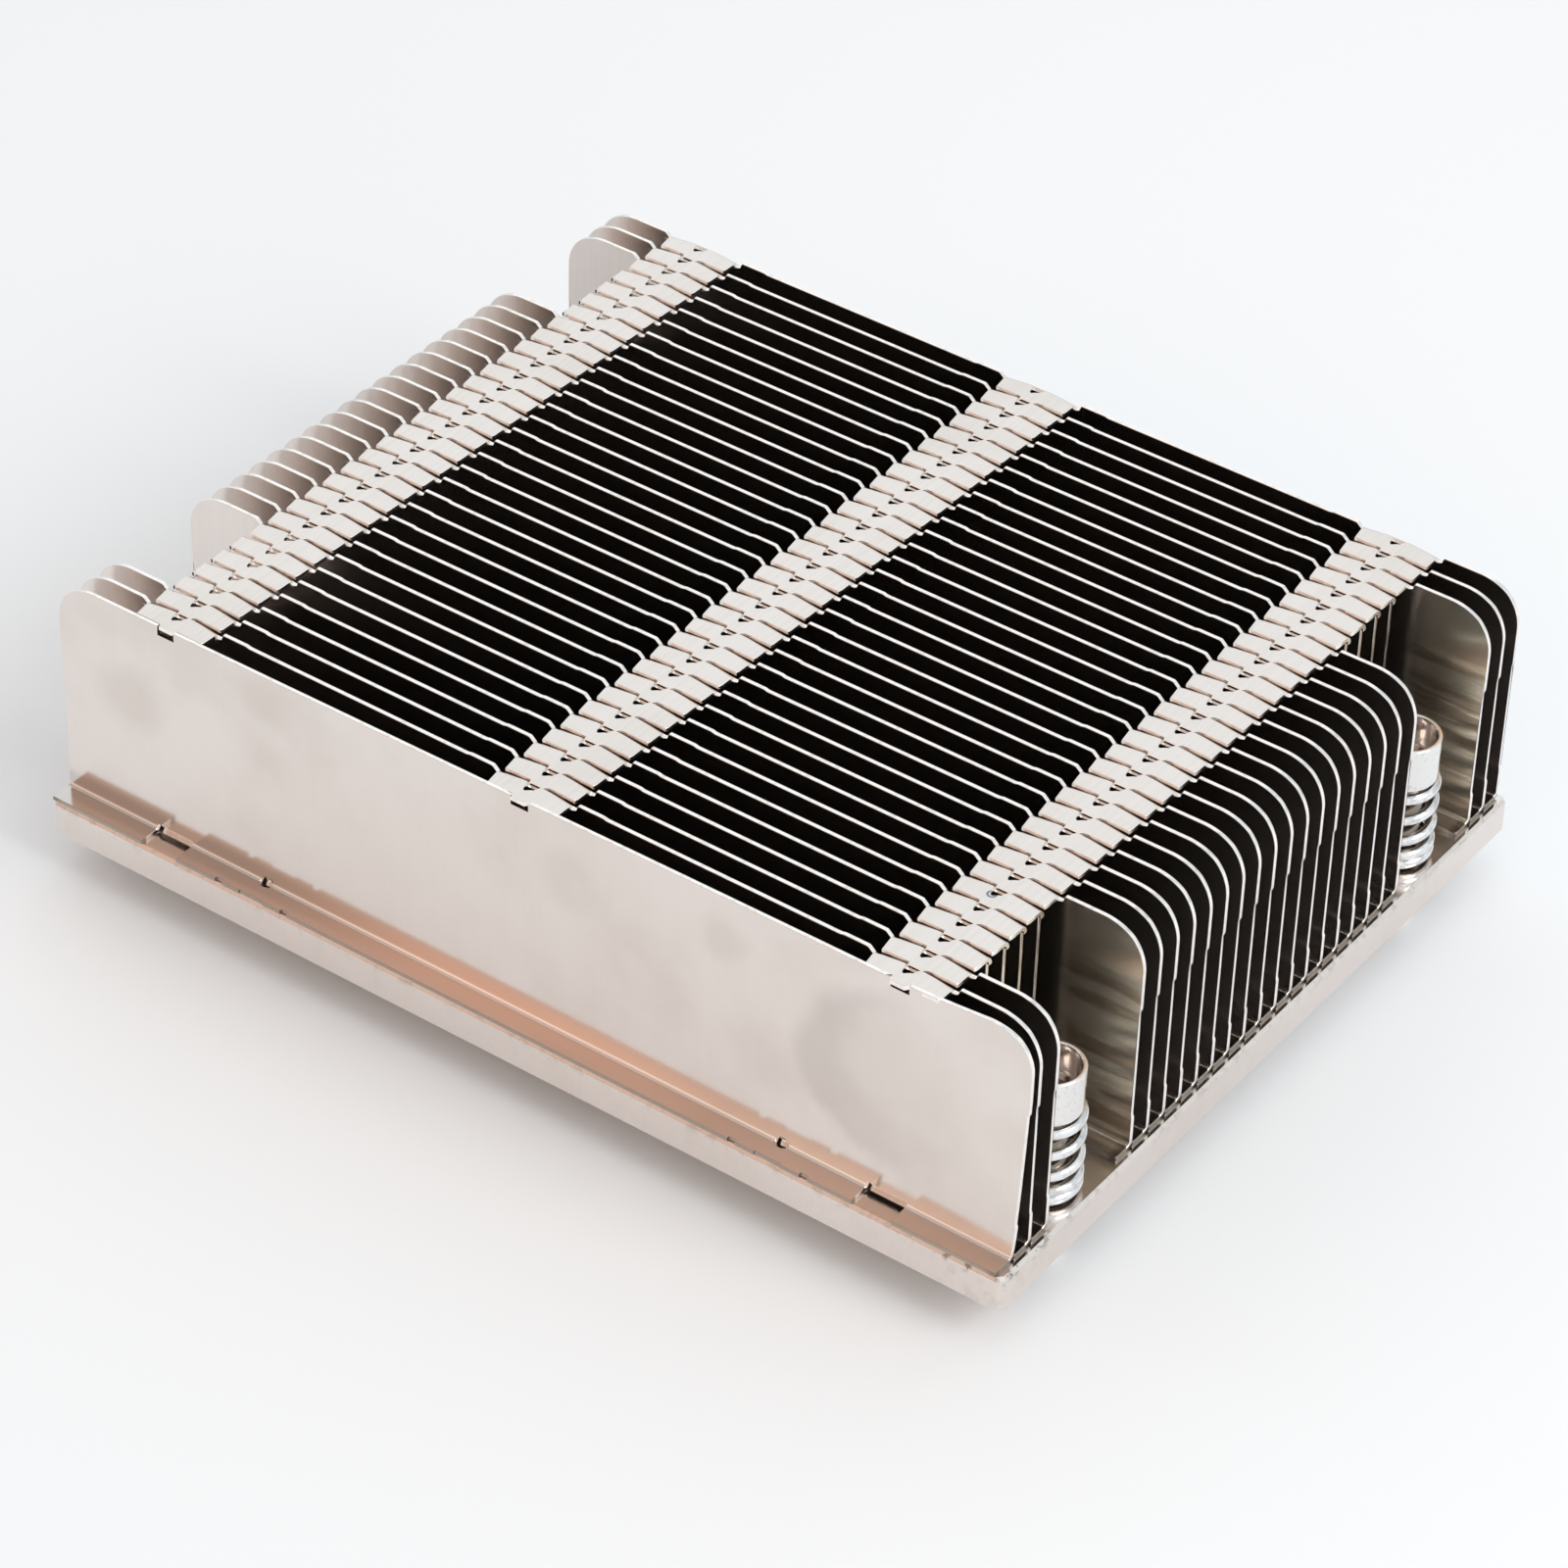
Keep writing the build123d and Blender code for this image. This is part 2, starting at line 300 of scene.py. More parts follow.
def folded_sheet(blank, place, half, edge_break):
    """A sheet of even thickness over the kept cells of a blank, folded by place(x, s) -> point, normal.

    Both faces are the middle surface moved by half the thickness along its normal. Each cut edge has a wall
    with a chamfer: the faces stop one edge break short of the outline, and the wall stands on the outline
    itself. The last array returned marks the faces of these walls.
    """
    out_x, out_s, total = blank.outward()
    used, rim = total > 0, (total > 0) & (total < 4)
    x, s = blank.at_x + blank.shift_x, blank.at_s + blank.shift_s
    face_point, face_normal = place(x - edge_break * out_x, s - edge_break * out_s)
    wall_point, wall_normal = place(x, s)
    count, rim_count = int(used.sum()), int(rim.sum())
    far = np.full(used.shape, -1)
    far[used] = np.arange(count)
    near = far + count
    rim_far = np.full(used.shape, -1)
    rim_far[rim] = 2 * count + np.arange(rim_count)
    rim_near = rim_far + rim_count
    inner = half - edge_break
    points = np.concatenate([
        (face_point + half * face_normal)[used],
        (face_point - half * face_normal)[used],
        (wall_point + inner * wall_normal)[rim],
        (wall_point - inner * wall_normal)[rim],
    ])

    def cell_quads(index):
        quads = np.stack([index[:-1, :-1], index[1:, :-1], index[1:, 1:], index[:-1, 1:]], axis=-1)
        return quads[blank.keep]

    cells = np.pad(blank.keep, 1)
    upright = cells[:-1, 1:-1].astype(int) - cells[1:, 1:-1]
    level = cells[1:-1, :-1].astype(int) - cells[1:-1, 1:]
    layers = (far, rim_far, rim_near, near)
    quads = [cell_quads(near), cell_quads(far)[:, ::-1]]
    for first, second in zip(layers[:-1], layers[1:]):
        for index_a, index_b, sign, value in (
            (np.s_[:, :-1], np.s_[:, 1:], 1, upright),
            (np.s_[:-1, :], np.s_[1:, :], -1, level),
        ):
            wall = np.stack([first[index_a], first[index_b], second[index_b], second[index_a]], axis=-1)
            quads += [wall[value == sign], wall[value == -sign][:, ::-1]]
    edges = np.arange(sum(len(part) for part in quads)) >= 2 * len(quads[0])
    return points, np.concatenate(quads).tolist(), edges


class FinShape:
    """Fold lengths shared by all fins, in millimetres, from the panel's sizes and the CAD boxes."""

    def __init__(self, sizes):
        self.sheet = sizes.sheet * MM
        self.radius = sizes.inner_bend * MM + self.sheet / 2
        self.arc = self.radius * math.pi / 2
        self.foot_radius = sizes.foot_bend * MM + self.sheet / 2
        self.foot_arc = self.foot_radius * math.pi / 2
        self.foot = PLATE_HIGH[2] + self.sheet / 2 + self.foot_radius
        self.web = FRONT_HIGH[2] - self.sheet / 2 - self.radius - self.foot
        self.top = self.web + self.arc
        self.reach = FRONT_HIGH[1] - self.sheet - FRONT_LOW[1] - sizes.inner_bend * MM
        self.edge = self.top + self.reach
        self.toe = -self.foot_arc - self.reach + self.foot_radius - self.radius
        self.tip = self.edge + sizes.tongue_length * MM
        self.slit_floor = self.top - sizes.slit_depth * MM
        self.corner = sizes.corner * MM
        self.sizes = sizes

    def lead(self, s):
        """Share of the way up the last stretch of web below the top fold, not held to 0 and 1."""
        return (s - self.web + FOLD_LEAD) / FOLD_LEAD

    def fold(self, x, s, far_face, folded, tight=0.0):
        """Folds a blank: x stays, s becomes height along the web and runs forward along foot and flange.

        Each fold is a quarter circle of the middle radius. With angle a of the top fold and b of the foot
        fold, y = middle - r(1 - cos a) - r(1 - cos b) - runs, z = foot + web + r sin a - r sin b, normal
        (0, cos a cos b, sin a - sin b). Where the top isn't folded, s goes on up to the same height. Where
        the top fold is tighter, its radius is less by that length, the web is longer by it, and the flange
        keeps its front edge.
        """
        tight = np.where(folded, tight, 0)
        top_radius = self.radius - tight
        over = np.maximum(s - self.web, 0)
        rise = (self.sheet / 2 + self.radius) / self.arc
        top_angle = np.where(folded, np.minimum(over, self.arc) / self.radius, 0)
        top_run = np.where(folded, np.maximum(over - self.arc, 0), 0)
        straight = np.where(folded, 0, over * rise)
        under = np.maximum(-s, 0)
        foot_angle = np.minimum(under, self.foot_arc) / self.foot_radius
        foot_run = np.maximum(under - self.foot_arc, 0)
        y = far_face - self.sheet / 2 - top_run - foot_run - tight * np.minimum(top_run / self.reach, 1)
        y = y - top_radius * (1 - np.cos(top_angle)) - self.foot_radius * (1 - np.cos(foot_angle))
        z = self.foot + np.clip(s, 0, self.web) + straight + tight * np.clip(self.lead(s), 0, 1)
        z = z + top_radius * np.sin(top_angle) - self.foot_radius * np.sin(foot_angle)
        normal_y = np.cos(top_angle) * np.cos(foot_angle)
        normal_z = np.sin(top_angle) - np.sin(foot_angle)
        point = np.stack([x, y, z], axis=-1)
        return point, np.stack([np.zeros_like(x), normal_y, normal_z], axis=-1)

    def round_corners(self, x, s, left, right):
        """Turns both upper corner squares into quarter discs.

        With a and b from 0 to 1 across and up the square, a' = a sqrt(1 - b^2/2), b' = b sqrt(1 - a^2/2).
        """
        radius = self.corner
        across = np.maximum(np.maximum(x - (right - radius), (left + radius) - x), 0) / radius
        up = np.maximum(s - (self.top - radius), 0) / radius
        side = np.where(x > (left + right) / 2, 1, -1)
        new_across = across * np.sqrt(np.maximum(1 - up**2 / 2, 0))
        new_up = up * np.sqrt(np.maximum(1 - across**2 / 2, 0))
        round_x = x + side * radius * (new_across - across)
        return round_x, s + radius * (new_up - up)

    def foot_rows(self):
        flange = np.array([self.toe, self.toe + 0.12, self.toe + 0.25, -self.foot_arc - 0.15])
        return [flange, np.linspace(-self.foot_arc, 0, 9), np.array([0.15])]

    def web_rows(self):
        trim = np.array([TRIM_LOW - TRIM_JOG, TRIM_LOW, 6.5, 10.5, TRIM_HIGH, TRIM_HIGH + TRIM_JOG])
        corner_rows = self.top - self.corner + self.corner * np.array([0, 0.14, 0.28, 0.42, 0.56, 0.68, 0.78])
        return [trim, corner_rows, np.array([self.slit_floor, self.web])]

    def top_rows(self):
        return [np.linspace(self.web, self.top, 7), np.array([self.top + 0.15, self.edge])]

    def corner_columns(self, left, right):
        steps = self.corner * np.array([0, 0.06, 0.14, 0.24, 0.36, 0.5, 0.64, 0.78, 0.9, 1.0])
        return [left + steps, right - steps]


def round_hole(x, s, centre_x, centre_s, radius):
    """Rounds a square cut to a circle: points on the square's rings move to circles, fading at two radii."""
    a, b = (x - centre_x) / radius, (s - centre_s) / radius
    ring = np.maximum(np.maximum(np.abs(a), np.abs(b)), 1e-6)
    share = np.clip(2 - ring, 0, 1)
    circle_a = a * np.sqrt(1 - (b / ring) ** 2 / 2)
    circle_b = b * np.sqrt(1 - (a / ring) ** 2 / 2)
    return x + share * radius * (circle_a - a), s + share * radius * (circle_b - b)


def smooth_step(value):
    """Cubic step from 0 to 1: 3v^2 - 2v^3, with v held between 0 and 1."""
    value = np.clip(value, 0, 1)
    return value * value * (3 - 2 * value)


class Interlock:
    """Tongue, slot and relief of one top flange, as x from the band's middle and s along the sheet.

    The tongue is short. The slot under it reaches past it in a hook: deep and round at the left, and slanting
    back to the relief at the right.
    """

    taper_left, taper_right = 0.08, 0.3
    slant_left, slant_right = 0.28, -0.36
    hook_start, hook_depth, hook_turn, hook_power = 0.1, 0.36, 0.35, 1.3

    def __init__(self, shape):
        sizes = shape.sizes
        self.half = sizes.tongue_width * MM / 2
        self.left, self.right = -self.half - self.taper_left, 0.6 * self.half
        self.end = shape.top + sizes.slot_length * MM
        self.relief_left, self.relief_right = -self.half - 0.55, self.half + 0.6
        self.relief_end = shape.web + shape.arc * 4 / 6
        self.inner = self.half * np.array([-0.8, -0.6, -0.4, -0.2, 0.0, 0.2, 0.4])

    def columns(self):
        edges = [self.relief_left, self.left, -self.half, self.half, self.right, self.relief_right]
        return np.concatenate([edges, self.inner])

    def cut(self, blank, band, shape):
        """Cuts the slot and its relief, and gives the tongue and the slot's end their slants."""
        blank.add(band - self.half, band + self.half, shape.edge, shape.tip)
        blank.cut(band + self.left, band + self.right, shape.slit_floor, self.end)
        blank.cut(band + self.relief_left, band + self.relief_right, shape.slit_floor, self.relief_end)
        tongue = blank.near(band - self.half, band + self.half, shape.edge, shape.tip)
        along = (blank.at_s[tongue] - shape.edge) / (shape.tip - shape.edge)
        across = (blank.at_x[tongue] - band) / self.half
        blank.shift_x[tongue] -= along * np.where(across > 0, self.taper_right, self.taper_left) * across
        for wall, slant in ((self.left, self.slant_left), (self.right, self.slant_right)):
            side = blank.near(band + wall, band + wall, self.relief_end, self.end)
            depth = (blank.at_s[side] - self.relief_end) / (self.end - self.relief_end)
            blank.shift_x[side] += slant * depth
        end = blank.near(band + self.left, band + self.right, self.end, self.end)
        share = np.clip((blank.at_x[end] - band - self.left) / (self.right - self.left), 0, 1)
        blank.shift_x[end] = self.slant_left * (1 - share) + self.slant_right * share
        blank.shift_s[end] += self.hook(share)

    def hook(self, share):
        """Depth of the hook past the slot's right end: a quarter ellipse, then a power of what is left."""
        rise = np.sqrt(np.clip(1 - (1 - share / self.hook_turn) ** 2, 0, 1))
        rest = np.clip(1 - (share - self.hook_turn) / (1 - self.hook_turn), 0, 1)
        start = self.hook_start + (self.hook_depth - self.hook_start) * rise
        return np.where(share < self.hook_turn, start, self.hook_depth * rest**self.hook_power)


def flanged_blank(shape, low, high, full):
    """Outline of a flanged fin: foot, web, a strip along the top, and three flanges between relief slits."""
    sizes = shape.sizes
    inset = 0.0 if full else SHORT_INSET
    left, right = low[0] + inset, high[0] - inset
    slit, recess = sizes.slit_width * MM, sizes.recess * MM
    lock = Interlock(shape)
    slit_left, slit_right = -BAND_HALF - LEFT_SLIT_SHARE * slit, BAND_HALF + slit
    offsets = np.array([
        slit_left - 0.9, slit_left, -BAND_HALF, -BAND_HALF + 0.3, BAND_HALF - 0.3, BAND_HALF, slit_right,
        slit_right + 0.4,
    ])
    trim_start, trim_stop = BANDS[:-1] + BAND_HALF + TOP_TRIM, BANDS[1:] - BAND_HALF - TOP_TRIM
    burr = BURR_LENGTH * np.array([0.3125, 0.625, 1.0])
    columns = [band + np.concatenate([offsets, lock.columns()]) for band in BANDS]
    columns += [trim_start - TOP_TRIM_JOG, trim_start, trim_stop, trim_stop + TOP_TRIM_JOG]
    columns += [np.array([low[0], left, right, high[0]]), low[0] + burr, high[0] - burr]
    if full:
        columns += shape.corner_columns(left, right)
    columns = [np.clip(column, low[0], high[0]) for column in columns]
    slot_rows = np.array([lock.relief_end, lock.end, shape.edge - 0.3, shape.top - STRIP_DEPTH])
    tongue_rows = shape.edge + (shape.tip - shape.edge) * np.array([0.3, 0.65, 1.0])
    blank = Blank(columns, shape.foot_rows() + shape.web_rows() + shape.top_rows() + [slot_rows, tongue_rows])
    blank.add(low[0], high[0], shape.toe, -shape.foot_arc)
    blank.add(left, right, -shape.foot_arc, shape.top)
    blank.add(low[0], high[0], shape.top - STRIP_DEPTH, shape.top)
    for band in BANDS:
        blank.add(band - BAND_HALF, band + BAND_HALF, shape.top, shape.edge)
        blank.cut(band + slit_left, band - BAND_HALF, shape.slit_floor, shape.top)
        blank.cut(band + BAND_HALF, band + slit_right, shape.slit_floor, shape.top)
        for column, reach in ((slit_left, LEFT_RAMP), (slit_right, RIGHT_RAMP)):
            ramp = blank.near(band + column, band + column, shape.slit_floor, shape.top)
            up = (blank.at_s[ramp] - shape.slit_floor) / (shape.top - shape.slit_floor)
            blank.shift_x[ramp] += reach * up
        lock.cut(blank, band, shape)
        side = blank.near(band - BAND_HALF, band - BAND_HALF, shape.top, shape.edge)
        blank.shift_x[side] += FLANGE_SLANT * (blank.at_s[side] - shape.top) / (shape.edge - shape.top)
        corner = blank.near(band + BAND_HALF, band + BAND_HALF, shape.edge, shape.edge)
        blank.shift_x[corner] -= FLANGE_CORNER
    for start, stop in zip(trim_start, trim_stop):
        blank.shift_s[blank.near(start, stop, shape.top, shape.top)] -= recess
    if full:
        blank.trim_ends(left, right, recess)
    return blank


def flanged_fin(shape, name):
    """A fin with a foot flange and three top flanges, each with a tongue in front and a slot at its fold.

    Towards a band's ends the fold widens from its tight radius, and lies lower by droop times the cubic step
    of |x - band|, so the flange rises to its free edge. The ends of the foot flange carry two burrs each, at
    the bend and at the front: the cubic step of the distance to the end, times a bell curve of s about each
    place. A tongue dips by the square of its share.
    """
    low, high = node_box(name)
    sizes = shape.sizes
    full = high[0] > BANDS[2] + BAND_HALF + WELL_MARGIN
    blank = flanged_blank(shape, low, high, full)
    folded = (np.abs(blank.at_x[..., None] - BANDS) < BAND_HALF + 0.01).any(axis=-1)

    def place(x, s):
        from_band = np.abs(x[..., None] - BANDS).min(axis=-1)
        sag = smooth_step((from_band - DROOP_START) / (BAND_HALF - DROOP_START)) * folded
        fade = np.clip(np.minimum(shape.lead(s), (shape.edge - s) / shape.reach), 0, 1)
        burr = np.exp(-((s + shape.foot_arc * 0.8) / 0.22) ** 2) + np.exp(-((s - shape.toe) / 0.2) ** 2)
        lip = smooth_step(1 - np.minimum(x - low[0], high[0] - x) / BURR_LENGTH) * burr
        widen = smooth_step((from_band - WIDEN_START) / (BAND_HALF - WIDEN_START))
        tight = sizes.tight_fold * MM * (1 - widen)
        if full:
            x, s = shape.round_corners(x, s, low[0], high[0])
        point, normal = shape.fold(x, s, high[1], folded, tight)
        dip = (np.maximum(s - shape.edge, 0) / (shape.tip - shape.edge)) ** 2
        lift = sizes.foot_burr * lip - sizes.droop * sag * fade - sizes.tongue_dip * dip
        point[..., 2] += lift * MM
        return point, normal

    return folded_sheet(blank, place, shape.sheet / 2, sizes.edge_break * MM)


def closes_well(name):
    """Whether a fin is full and the one in front of it is short."""
    before = FIN_NAMES[max(FIN_NAMES.index(name) - 1, 0)]
    return node_box(name)[1][0] - node_box(before)[1][0] > WELL_MARGIN


def front_fin(shape):
    """The foremost fin: notched instead of flanged, gaps and interlock holes in its foot, one end bent in.

    From a little right of the last band it leans in by lean u^1.5 v, with u the share of the way to its end
    and v that of its height. Above the foot it stands back by bow times the cubic step of x times
    1 - exp(-s / length).
    """
    sizes = shape.sizes
    left, right = FRONT_LOW[0], FRONT_HIGH[0]
    notch, notch_floor = sizes.tongue_width * MM / 2 + 0.02, shape.top - STRIP_DEPTH
    gap_half, gap_top = 2.0, 0.85 + PLATE_HIGH[2] - shape.foot
    toe = shape.toe - 0.25
    holes = STACK_MIDDLE + np.array([-28.0, 28.0])
    hole_radius, hole_s = 0.65, -shape.foot_arc / 2
    ring = hole_radius * np.arange(-2.0, 2.1, 0.5)
    nick_half, nick_depth = 1.35, 0.14
    side_nick, side_nick_half, side_nick_depth = 3.7, 0.4, 0.28
    nicks = np.array([nick_half, side_nick - side_nick_half, side_nick + side_nick_half])
    columns = [band + np.array([-notch - 2.0, -notch, 0, notch, notch + 2.0]) for band in BANDS]
    columns += [band + np.array([-gap_half, gap_half]) for band in BANDS[[0, 2]]]
    columns += [hole + np.concatenate([ring, nicks, -nicks]) for hole in holes]
    columns += [np.arange(BANDS[2], right, 0.8), np.linspace(left, right, 25)]
    columns += shape.corner_columns(left, right)
    rows = shape.foot_rows() + shape.web_rows()
    rows += [np.linspace(shape.web, shape.top, 4), hole_s + ring, np.arange(1.5, shape.web, 1.4)]
    rows += [np.array([notch_floor, gap_top, toe, toe + nick_depth, toe + side_nick_depth])]
    blank = Blank(columns, rows)
    blank.add(left, right, toe, shape.top)
    for band in BANDS:
        blank.cut(band - notch, band + notch, notch_floor, shape.top)
    for band in BANDS[[0, 2]]:
        blank.cut(band - gap_half, band + gap_half, toe, gap_top)
    for hole in holes:
        blank.cut(hole - hole_radius, hole + hole_radius, hole_s - hole_radius, hole_s + hole_radius)
        blank.cut(hole - nick_half, hole + nick_half, toe, toe + nick_depth)
        for middle in (hole - side_nick, hole + side_nick):
            blank.cut(middle - side_nick_half, middle + side_nick_half, toe, toe + side_nick_depth)
    blank.trim_ends(left, right, sizes.recess * MM)
    lean_start, lean_height, bow_length = BANDS[2] + 1.0, 15.5, 3.0

    def place(x, s):
        for hole in holes:
            x, s = round_hole(x, s, hole, hole_s, hole_radius)
        x, s = shape.round_corners(x, s, left, right)
        point, normal = shape.fold(x, s, FRONT_HIGH[1], False)
        along = np.clip((x - lean_start) / (right - lean_start), 0, 1)
        lean = along**1.5 * np.clip(s / lean_height, 0, 1)
        bow = smooth_step((x - left) / (BANDS[2] - left)) * (1 - np.exp(-np.maximum(s, 0) / bow_length))
        point[..., 1] += (sizes.front_lean * lean + sizes.foot_bow * bow) * MM
        return point, normal

    return folded_sheet(blank, place, shape.sheet / 2, sizes.edge_break * MM)


def capped(points, faces, rows, columns):
    """Closes both ends of a tube of rows by columns points with one face each."""
    faces = faces.tolist()
    faces.append(list(range(columns))[::-1])
    faces.append([(rows - 1) * columns + step for step in range(columns)])
    return points, faces


def screw_axis(corner):
    """Middle of a corner's screw."""
    low, high = node_box(f"screw_{corner}")
    return (low + high) / 2


def coil_spring(corner, sizes):
    """A round wire carried along a helix whose rise per turn is one wire at both ends and even between.

    Centre line: (R cos t, R sin t, z(t)). The wire's circle lies across it, in the radial and the binormal
    direction.
    """
    low, high = node_box(f"spring_{corner}")
    wire = sizes.wire * MM
    radius = (high[0] - low[0] - wire) / 2
    turns = sizes.bottom_turns + sizes.open_turns + sizes.top_turns
    steps, sides = int(turns * 48), 16
    turn = np.linspace(0, turns, steps)
    open_turn = np.clip(turn - sizes.bottom_turns, 0, sizes.open_turns)
    start, stop = low[2] + 0.3 * wire, high[2] - 0.4 * wire
    closed_rise = 0.96 * wire
    open_rise = stop - start - closed_rise * (sizes.bottom_turns + sizes.top_turns)
    height = start + closed_rise * (turn - open_turn) + open_rise * open_turn / sizes.open_turns
    angle = 2 * math.pi * turn + math.radians(sizes.wire_end)
    line = np.stack([radius * np.cos(angle), radius * np.sin(angle), height], axis=-1)
    line[:, :2] += screw_axis(corner)[:2]
    radial = np.stack([np.cos(angle), np.sin(angle), np.zeros(steps)], axis=-1)
    tangent = np.gradient(line, axis=0)
    tangent /= np.linalg.norm(tangent, axis=1, keepdims=True)
    binormal = np.cross(tangent, radial)
    phi = np.linspace(0, 2 * math.pi, sides, endpoint=False)[None, :, None]
    circle = np.cos(phi) * radial[:, None] + np.sin(phi) * binormal[:, None]
    points = (line[:, None] + wire / 2 * circle).reshape(-1, 3)
    points[:, 2] = np.clip(points[:, 2], low[2], high[2])
    return capped(points, grid_faces(steps, sides, True), steps, sides)


def captive_screw(corner, sizes):
    """A turned screw: one profile of radius and height carried round the axis.

    The stud's radius is cut back by a triangle wave of height and angle, which makes the thread. The cup's
    floor is lowered inside a cross, which makes the drive recess.
    """
    low, high = node_box(f"screw_{corner}")
    axis = screw_axis(corner)
    cup = (high[0] - low[0]) / 2 - 0.05
    shank, groove, wall = 2.0, 1.5, 0.45
    tip, top = low[2], high[2]
    seat, floor = top - 4.4, top - 3.1
    rim, hollow = sizes.rim_round * MM, 0.2
    arm_half, arm_wall, arm_reach, arm_slope = 0.42, 0.16, 1.75, 0.3
    quarter = np.linspace(0, math.pi / 2, 6)
    cosine, sine = np.cos(quarter), np.sin(quarter)
    thread_z = np.linspace(tip + 0.6, 0.34, 56)

    def column(radius, heights):
        return np.stack([np.full(heights.shape, radius), heights], axis=-1)

    outline = [
        np.array([[0.02, tip], [0.8, tip], [1.55, tip], [1.75, tip + 0.3]]),
        column(shank, thread_z),
        np.array([[groove, 0.36], [groove, 0.94], [shank, 0.96]]),
        column(shank, np.array([1.1, 6.0, seat - 0.3])),
        np.array([[shank + 0.1, seat], [2.5, seat], [cup - 0.18, seat]]),
        np.array([[cup - 0.04, seat + 0.06], [cup, seat + 0.2]]),
        column(cup, np.linspace(seat + 0.5, top - rim - 0.2, 5)),
        np.stack([cup - rim + rim * cosine, top - rim + rim * sine], axis=-1),
        np.stack([cup - wall + rim - rim * sine, top - rim + rim * cosine], axis=-1),
        column(cup - wall, np.linspace(top - rim - 0.4, floor + 0.4, 4)),
        np.stack([cup - wall - hollow + hollow * cosine, floor + hollow - hollow * sine], axis=-1),
        np.stack([np.linspace(cup - wall - 0.35, 0.02, 16), np.full(16, floor)], axis=-1),
    ]
    profile = np.concatenate(outline)
    sides = 72
    phi = np.linspace(0, 2 * math.pi, sides, endpoint=False)
    radius = np.repeat(profile[:, :1], sides, axis=1)
    height = np.repeat(profile[:, 1:], sides, axis=1)
    phase = height / (sizes.thread_pitch * MM) - phi / (2 * math.pi)
    wave = np.abs(2 * (phase % 1.0) - 1)
    first, count = len(outline[0]), len(thread_z)
    radius[first:first + count] -= sizes.thread_depth * MM * wave[first:first + count]
    across = np.minimum(np.abs(radius * np.cos(phi)), np.abs(radius * np.sin(phi)))
    cross = np.clip((arm_half - across) / arm_wall, 0, 1) * np.clip((arm_reach - radius) / arm_slope, 0, 1)
    last = len(outline[-1])
    height[-last:] -= sizes.recess_depth * MM * cross[-last:]
    points = np.stack([axis[0] + radius * np.cos(phi), axis[1] + radius * np.sin(phi), height], axis=-1)
    faces = grid_faces(len(profile), sides, True)
    return capped(points.reshape(-1, 3), faces, len(profile), sides)


def snap_ring(corner):
    """A flat ring with a straight open mouth: a chamfered section carried round from one lip to the other.

    At radius r the lips start at the angle asin(half mouth / r), so the mouth's sides are parallel.
    """
    low, high = node_box(f"retaining_ring_{corner}")
    axis = screw_axis(corner)
    outer, inner, half_mouth, break_edge = (high[1] - low[1]) / 2, 1.55, 1.2, 0.06
    section = np.array([
        [inner + break_edge, low[2]], [outer - break_edge, low[2]], [outer, low[2] + break_edge],
        [outer, high[2] - break_edge], [outer - break_edge, high[2]], [inner + break_edge, high[2]],
        [inner, high[2] - break_edge], [inner, low[2] + break_edge],
    ])
    steps = 64
    share = np.linspace(0, 1, steps)[:, None]
    lip = np.arcsin(np.minimum(half_mouth / section[:, 0], 1))[None, :]
    angle = lip + share * (2 * math.pi - 2 * lip)
    x = axis[0] + section[None, :, 0] * np.cos(angle)
    y = axis[1] + section[None, :, 0] * np.sin(angle)
    z = np.broadcast_to(section[None, :, 1], x.shape)
    points = np.stack([x, y, z], axis=-1).reshape(-1, 3)
    faces = grid_faces(steps, len(section), True)
    return capped(points, faces, steps, len(section))


class NodeBoard:
    """Small helper that adds nodes to a tree and links them by socket."""

    def __init__(self, tree):
        self.tree = tree

    def add(self, kind, inputs=None, **settings):
        node = self.tree.nodes.new(kind)
        for key, value in settings.items():
            setattr(node, key, value)
        for key, value in (inputs or {}).items():
            if isinstance(value, bpy.types.NodeSocket):
                self.tree.links.new(value, node.inputs[key])
            else:
                node.inputs[key].default_value = value
        return node

    def link(self, output, node, socket):
        self.tree.links.new(output, node.inputs[socket])

    def place(self):
        """Object coordinates, in metres."""
        return self.add("ShaderNodeTexCoord").outputs["Object"]

    def axes(self, vector):
        """X, Y and Z of a vector in metres, as millimetres."""
        scaled = self.add("ShaderNodeVectorMath", {0: vector, "Scale": MM}, operation="SCALE").outputs[0]
        return self.add("ShaderNodeSeparateXYZ", {0: scaled}).outputs

    def math(self, operation, first, second=0.0, clamp=False):
        node = self.add("ShaderNodeMath", {0: first, 1: second}, operation=operation, use_clamp=clamp)
        return node.outputs[0]

    def product(self, first, *others):
        for other in others:
            first = self.math("MULTIPLY", first, other)
        return first

    def total(self, first, *others):
        for other in others:
            first = self.math("ADD", first, other)
        return first

    def gap(self, value, middle):
        """How far a value is from a middle, to either side."""
        return self.math("ABSOLUTE", self.math("SUBTRACT", value, middle))

    def radius(self, first, second):
        """Length of the slant over two legs."""
        return self.math("SQRT", self.total(self.product(first, first), self.product(second, second)))

    def remap(self, value, low, high, to_low=0.0, to_high=1.0):
        inputs = {"Value": value, "From Min": low, "From Max": high, "To Min": to_low, "To Max": to_high}
        return self.add("ShaderNodeMapRange", inputs, interpolation_type="SMOOTHSTEP").outputs[0]

    def mix(self, share, first, second):
        node = self.add("ShaderNodeMix", {0: share, 6: first, 7: second}, data_type="RGBA")
        return node.outputs[2]

    def noise(self, vector, scale, detail=2.0, roughness=0.5):
        inputs = {"Vector": vector, "Scale": scale, "Detail": detail, "Roughness": roughness}
        return self.add("ShaderNodeTexNoise", inputs).outputs[0]

    def stretched(self, vector, scale):
        return self.add("ShaderNodeMapping", {"Vector": vector, "Scale": scale}).outputs[0]


def opaque(value):
    """A colour with full alpha, as sockets take it."""
    return (*value, 1.0)


